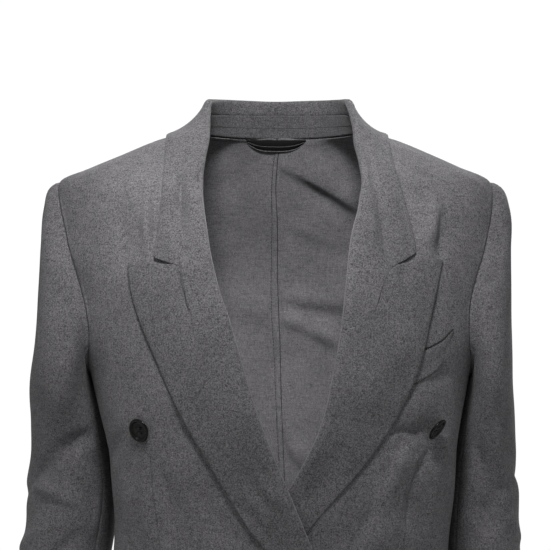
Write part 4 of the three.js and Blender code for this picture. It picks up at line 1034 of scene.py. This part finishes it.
# Area lights: place, aim, size in metres, power in watts and spread in degrees.
LIGHTS = {
    "near": ((-0.05, -0.62, 0.58), (-0.02, -0.05, -0.07), 0.22, 0.74, 48),
    "key": ((-1.6, -1.4, 1.3), (-0.05, -0.05, -0.1), 0.7, 4, 180),
    "back": ((0.7, 1.7, 1.5), (0, 0, -0.3), 0.9, 34, 180),
}
BACKGROUND = 1.02               # brightness of the room as the camera sees it
AMBIENT = 0.24                  # and as the light that it gives
FLOOR_LIFT = 0.4                # light added to the floor as the camera sees it, so that it looks pale
FLOOR_DROP, FLOOR_HALF = 0.12, 3.2  # its distance below the blazer, and half its width


def add_camera(scene):
    data = bpy.data.cameras.new("camera")
    data.sensor_width = SENSOR
    data.lens = SENSOR * CAMERA_DISTANCE / VIEW_WIDTH
    camera = bpy.data.objects.new("camera", data)
    camera.location = (CAMERA_X, -CAMERA_DISTANCE, CAMERA_Z)
    camera.rotation_euler = (math.pi / 2, 0, 0)
    scene.collection.objects.link(camera)
    scene.camera = camera
    scene.view_settings.view_transform = "Standard"
    scene.view_settings.look = "None"


def add_lights(scene):
    for name, (place, aim, size, power, spread_angle) in LIGHTS.items():
        data = bpy.data.lights.new(name, "AREA")
        data.size = size
        data.energy = power
        data.spread = math.radians(spread_angle)
        lamp = bpy.data.objects.new(name, data)
        lamp.location = place
        lamp.rotation_euler = (Vector(aim) - Vector(place)).to_track_quat("-Z", "Y").to_euler()
        scene.collection.objects.link(lamp)


def seen_by_camera(tree):
    """1 for rays from the camera, 0 for rays of light."""
    return add_node(tree, "ShaderNodeLightPath").outputs["Is Camera Ray"]


def add_world(scene):
    world = bpy.data.worlds.new("white studio")
    scene.world = world
    world.use_nodes = True
    tree = world.node_tree
    background = tree.nodes["Background"]
    extra = math_node(tree, "MULTIPLY", seen_by_camera(tree), BACKGROUND - AMBIENT)
    background.inputs["Color"].default_value = (1, 1, 1, 1)
    tree.links.new(math_node(tree, "ADD", extra, AMBIENT), background.inputs["Strength"])


def floor_material():
    material, tree, shader = nodes_of("pale_floor")
    shade = ramp(tree, noise(tree, object_place(tree), 3.0), (0.3, 0.78), (0.7, 0.82))
    tree.links.new(shade, shader.inputs["Base Color"])
    shader.inputs["Roughness"].default_value = 0.8
    shader.inputs["Emission Color"].default_value = (1, 1, 1, 1)
    lift = math_node(tree, "MULTIPLY", seen_by_camera(tree), FLOOR_LIFT)
    tree.links.new(lift, shader.inputs["Emission Strength"])
    return material


def add_floor():
    low = cad_bounds[0][2] - FLOOR_DROP
    corners = [(x * FLOOR_HALF, y * FLOOR_HALF, low) for x, y in SQUARE]
    new_object("floor", corners, [[0, 1, 2, 3]], [floor_material()])


add_camera(bpy.context.scene)
add_lights(bpy.context.scene)
add_world(bpy.context.scene)
add_floor()
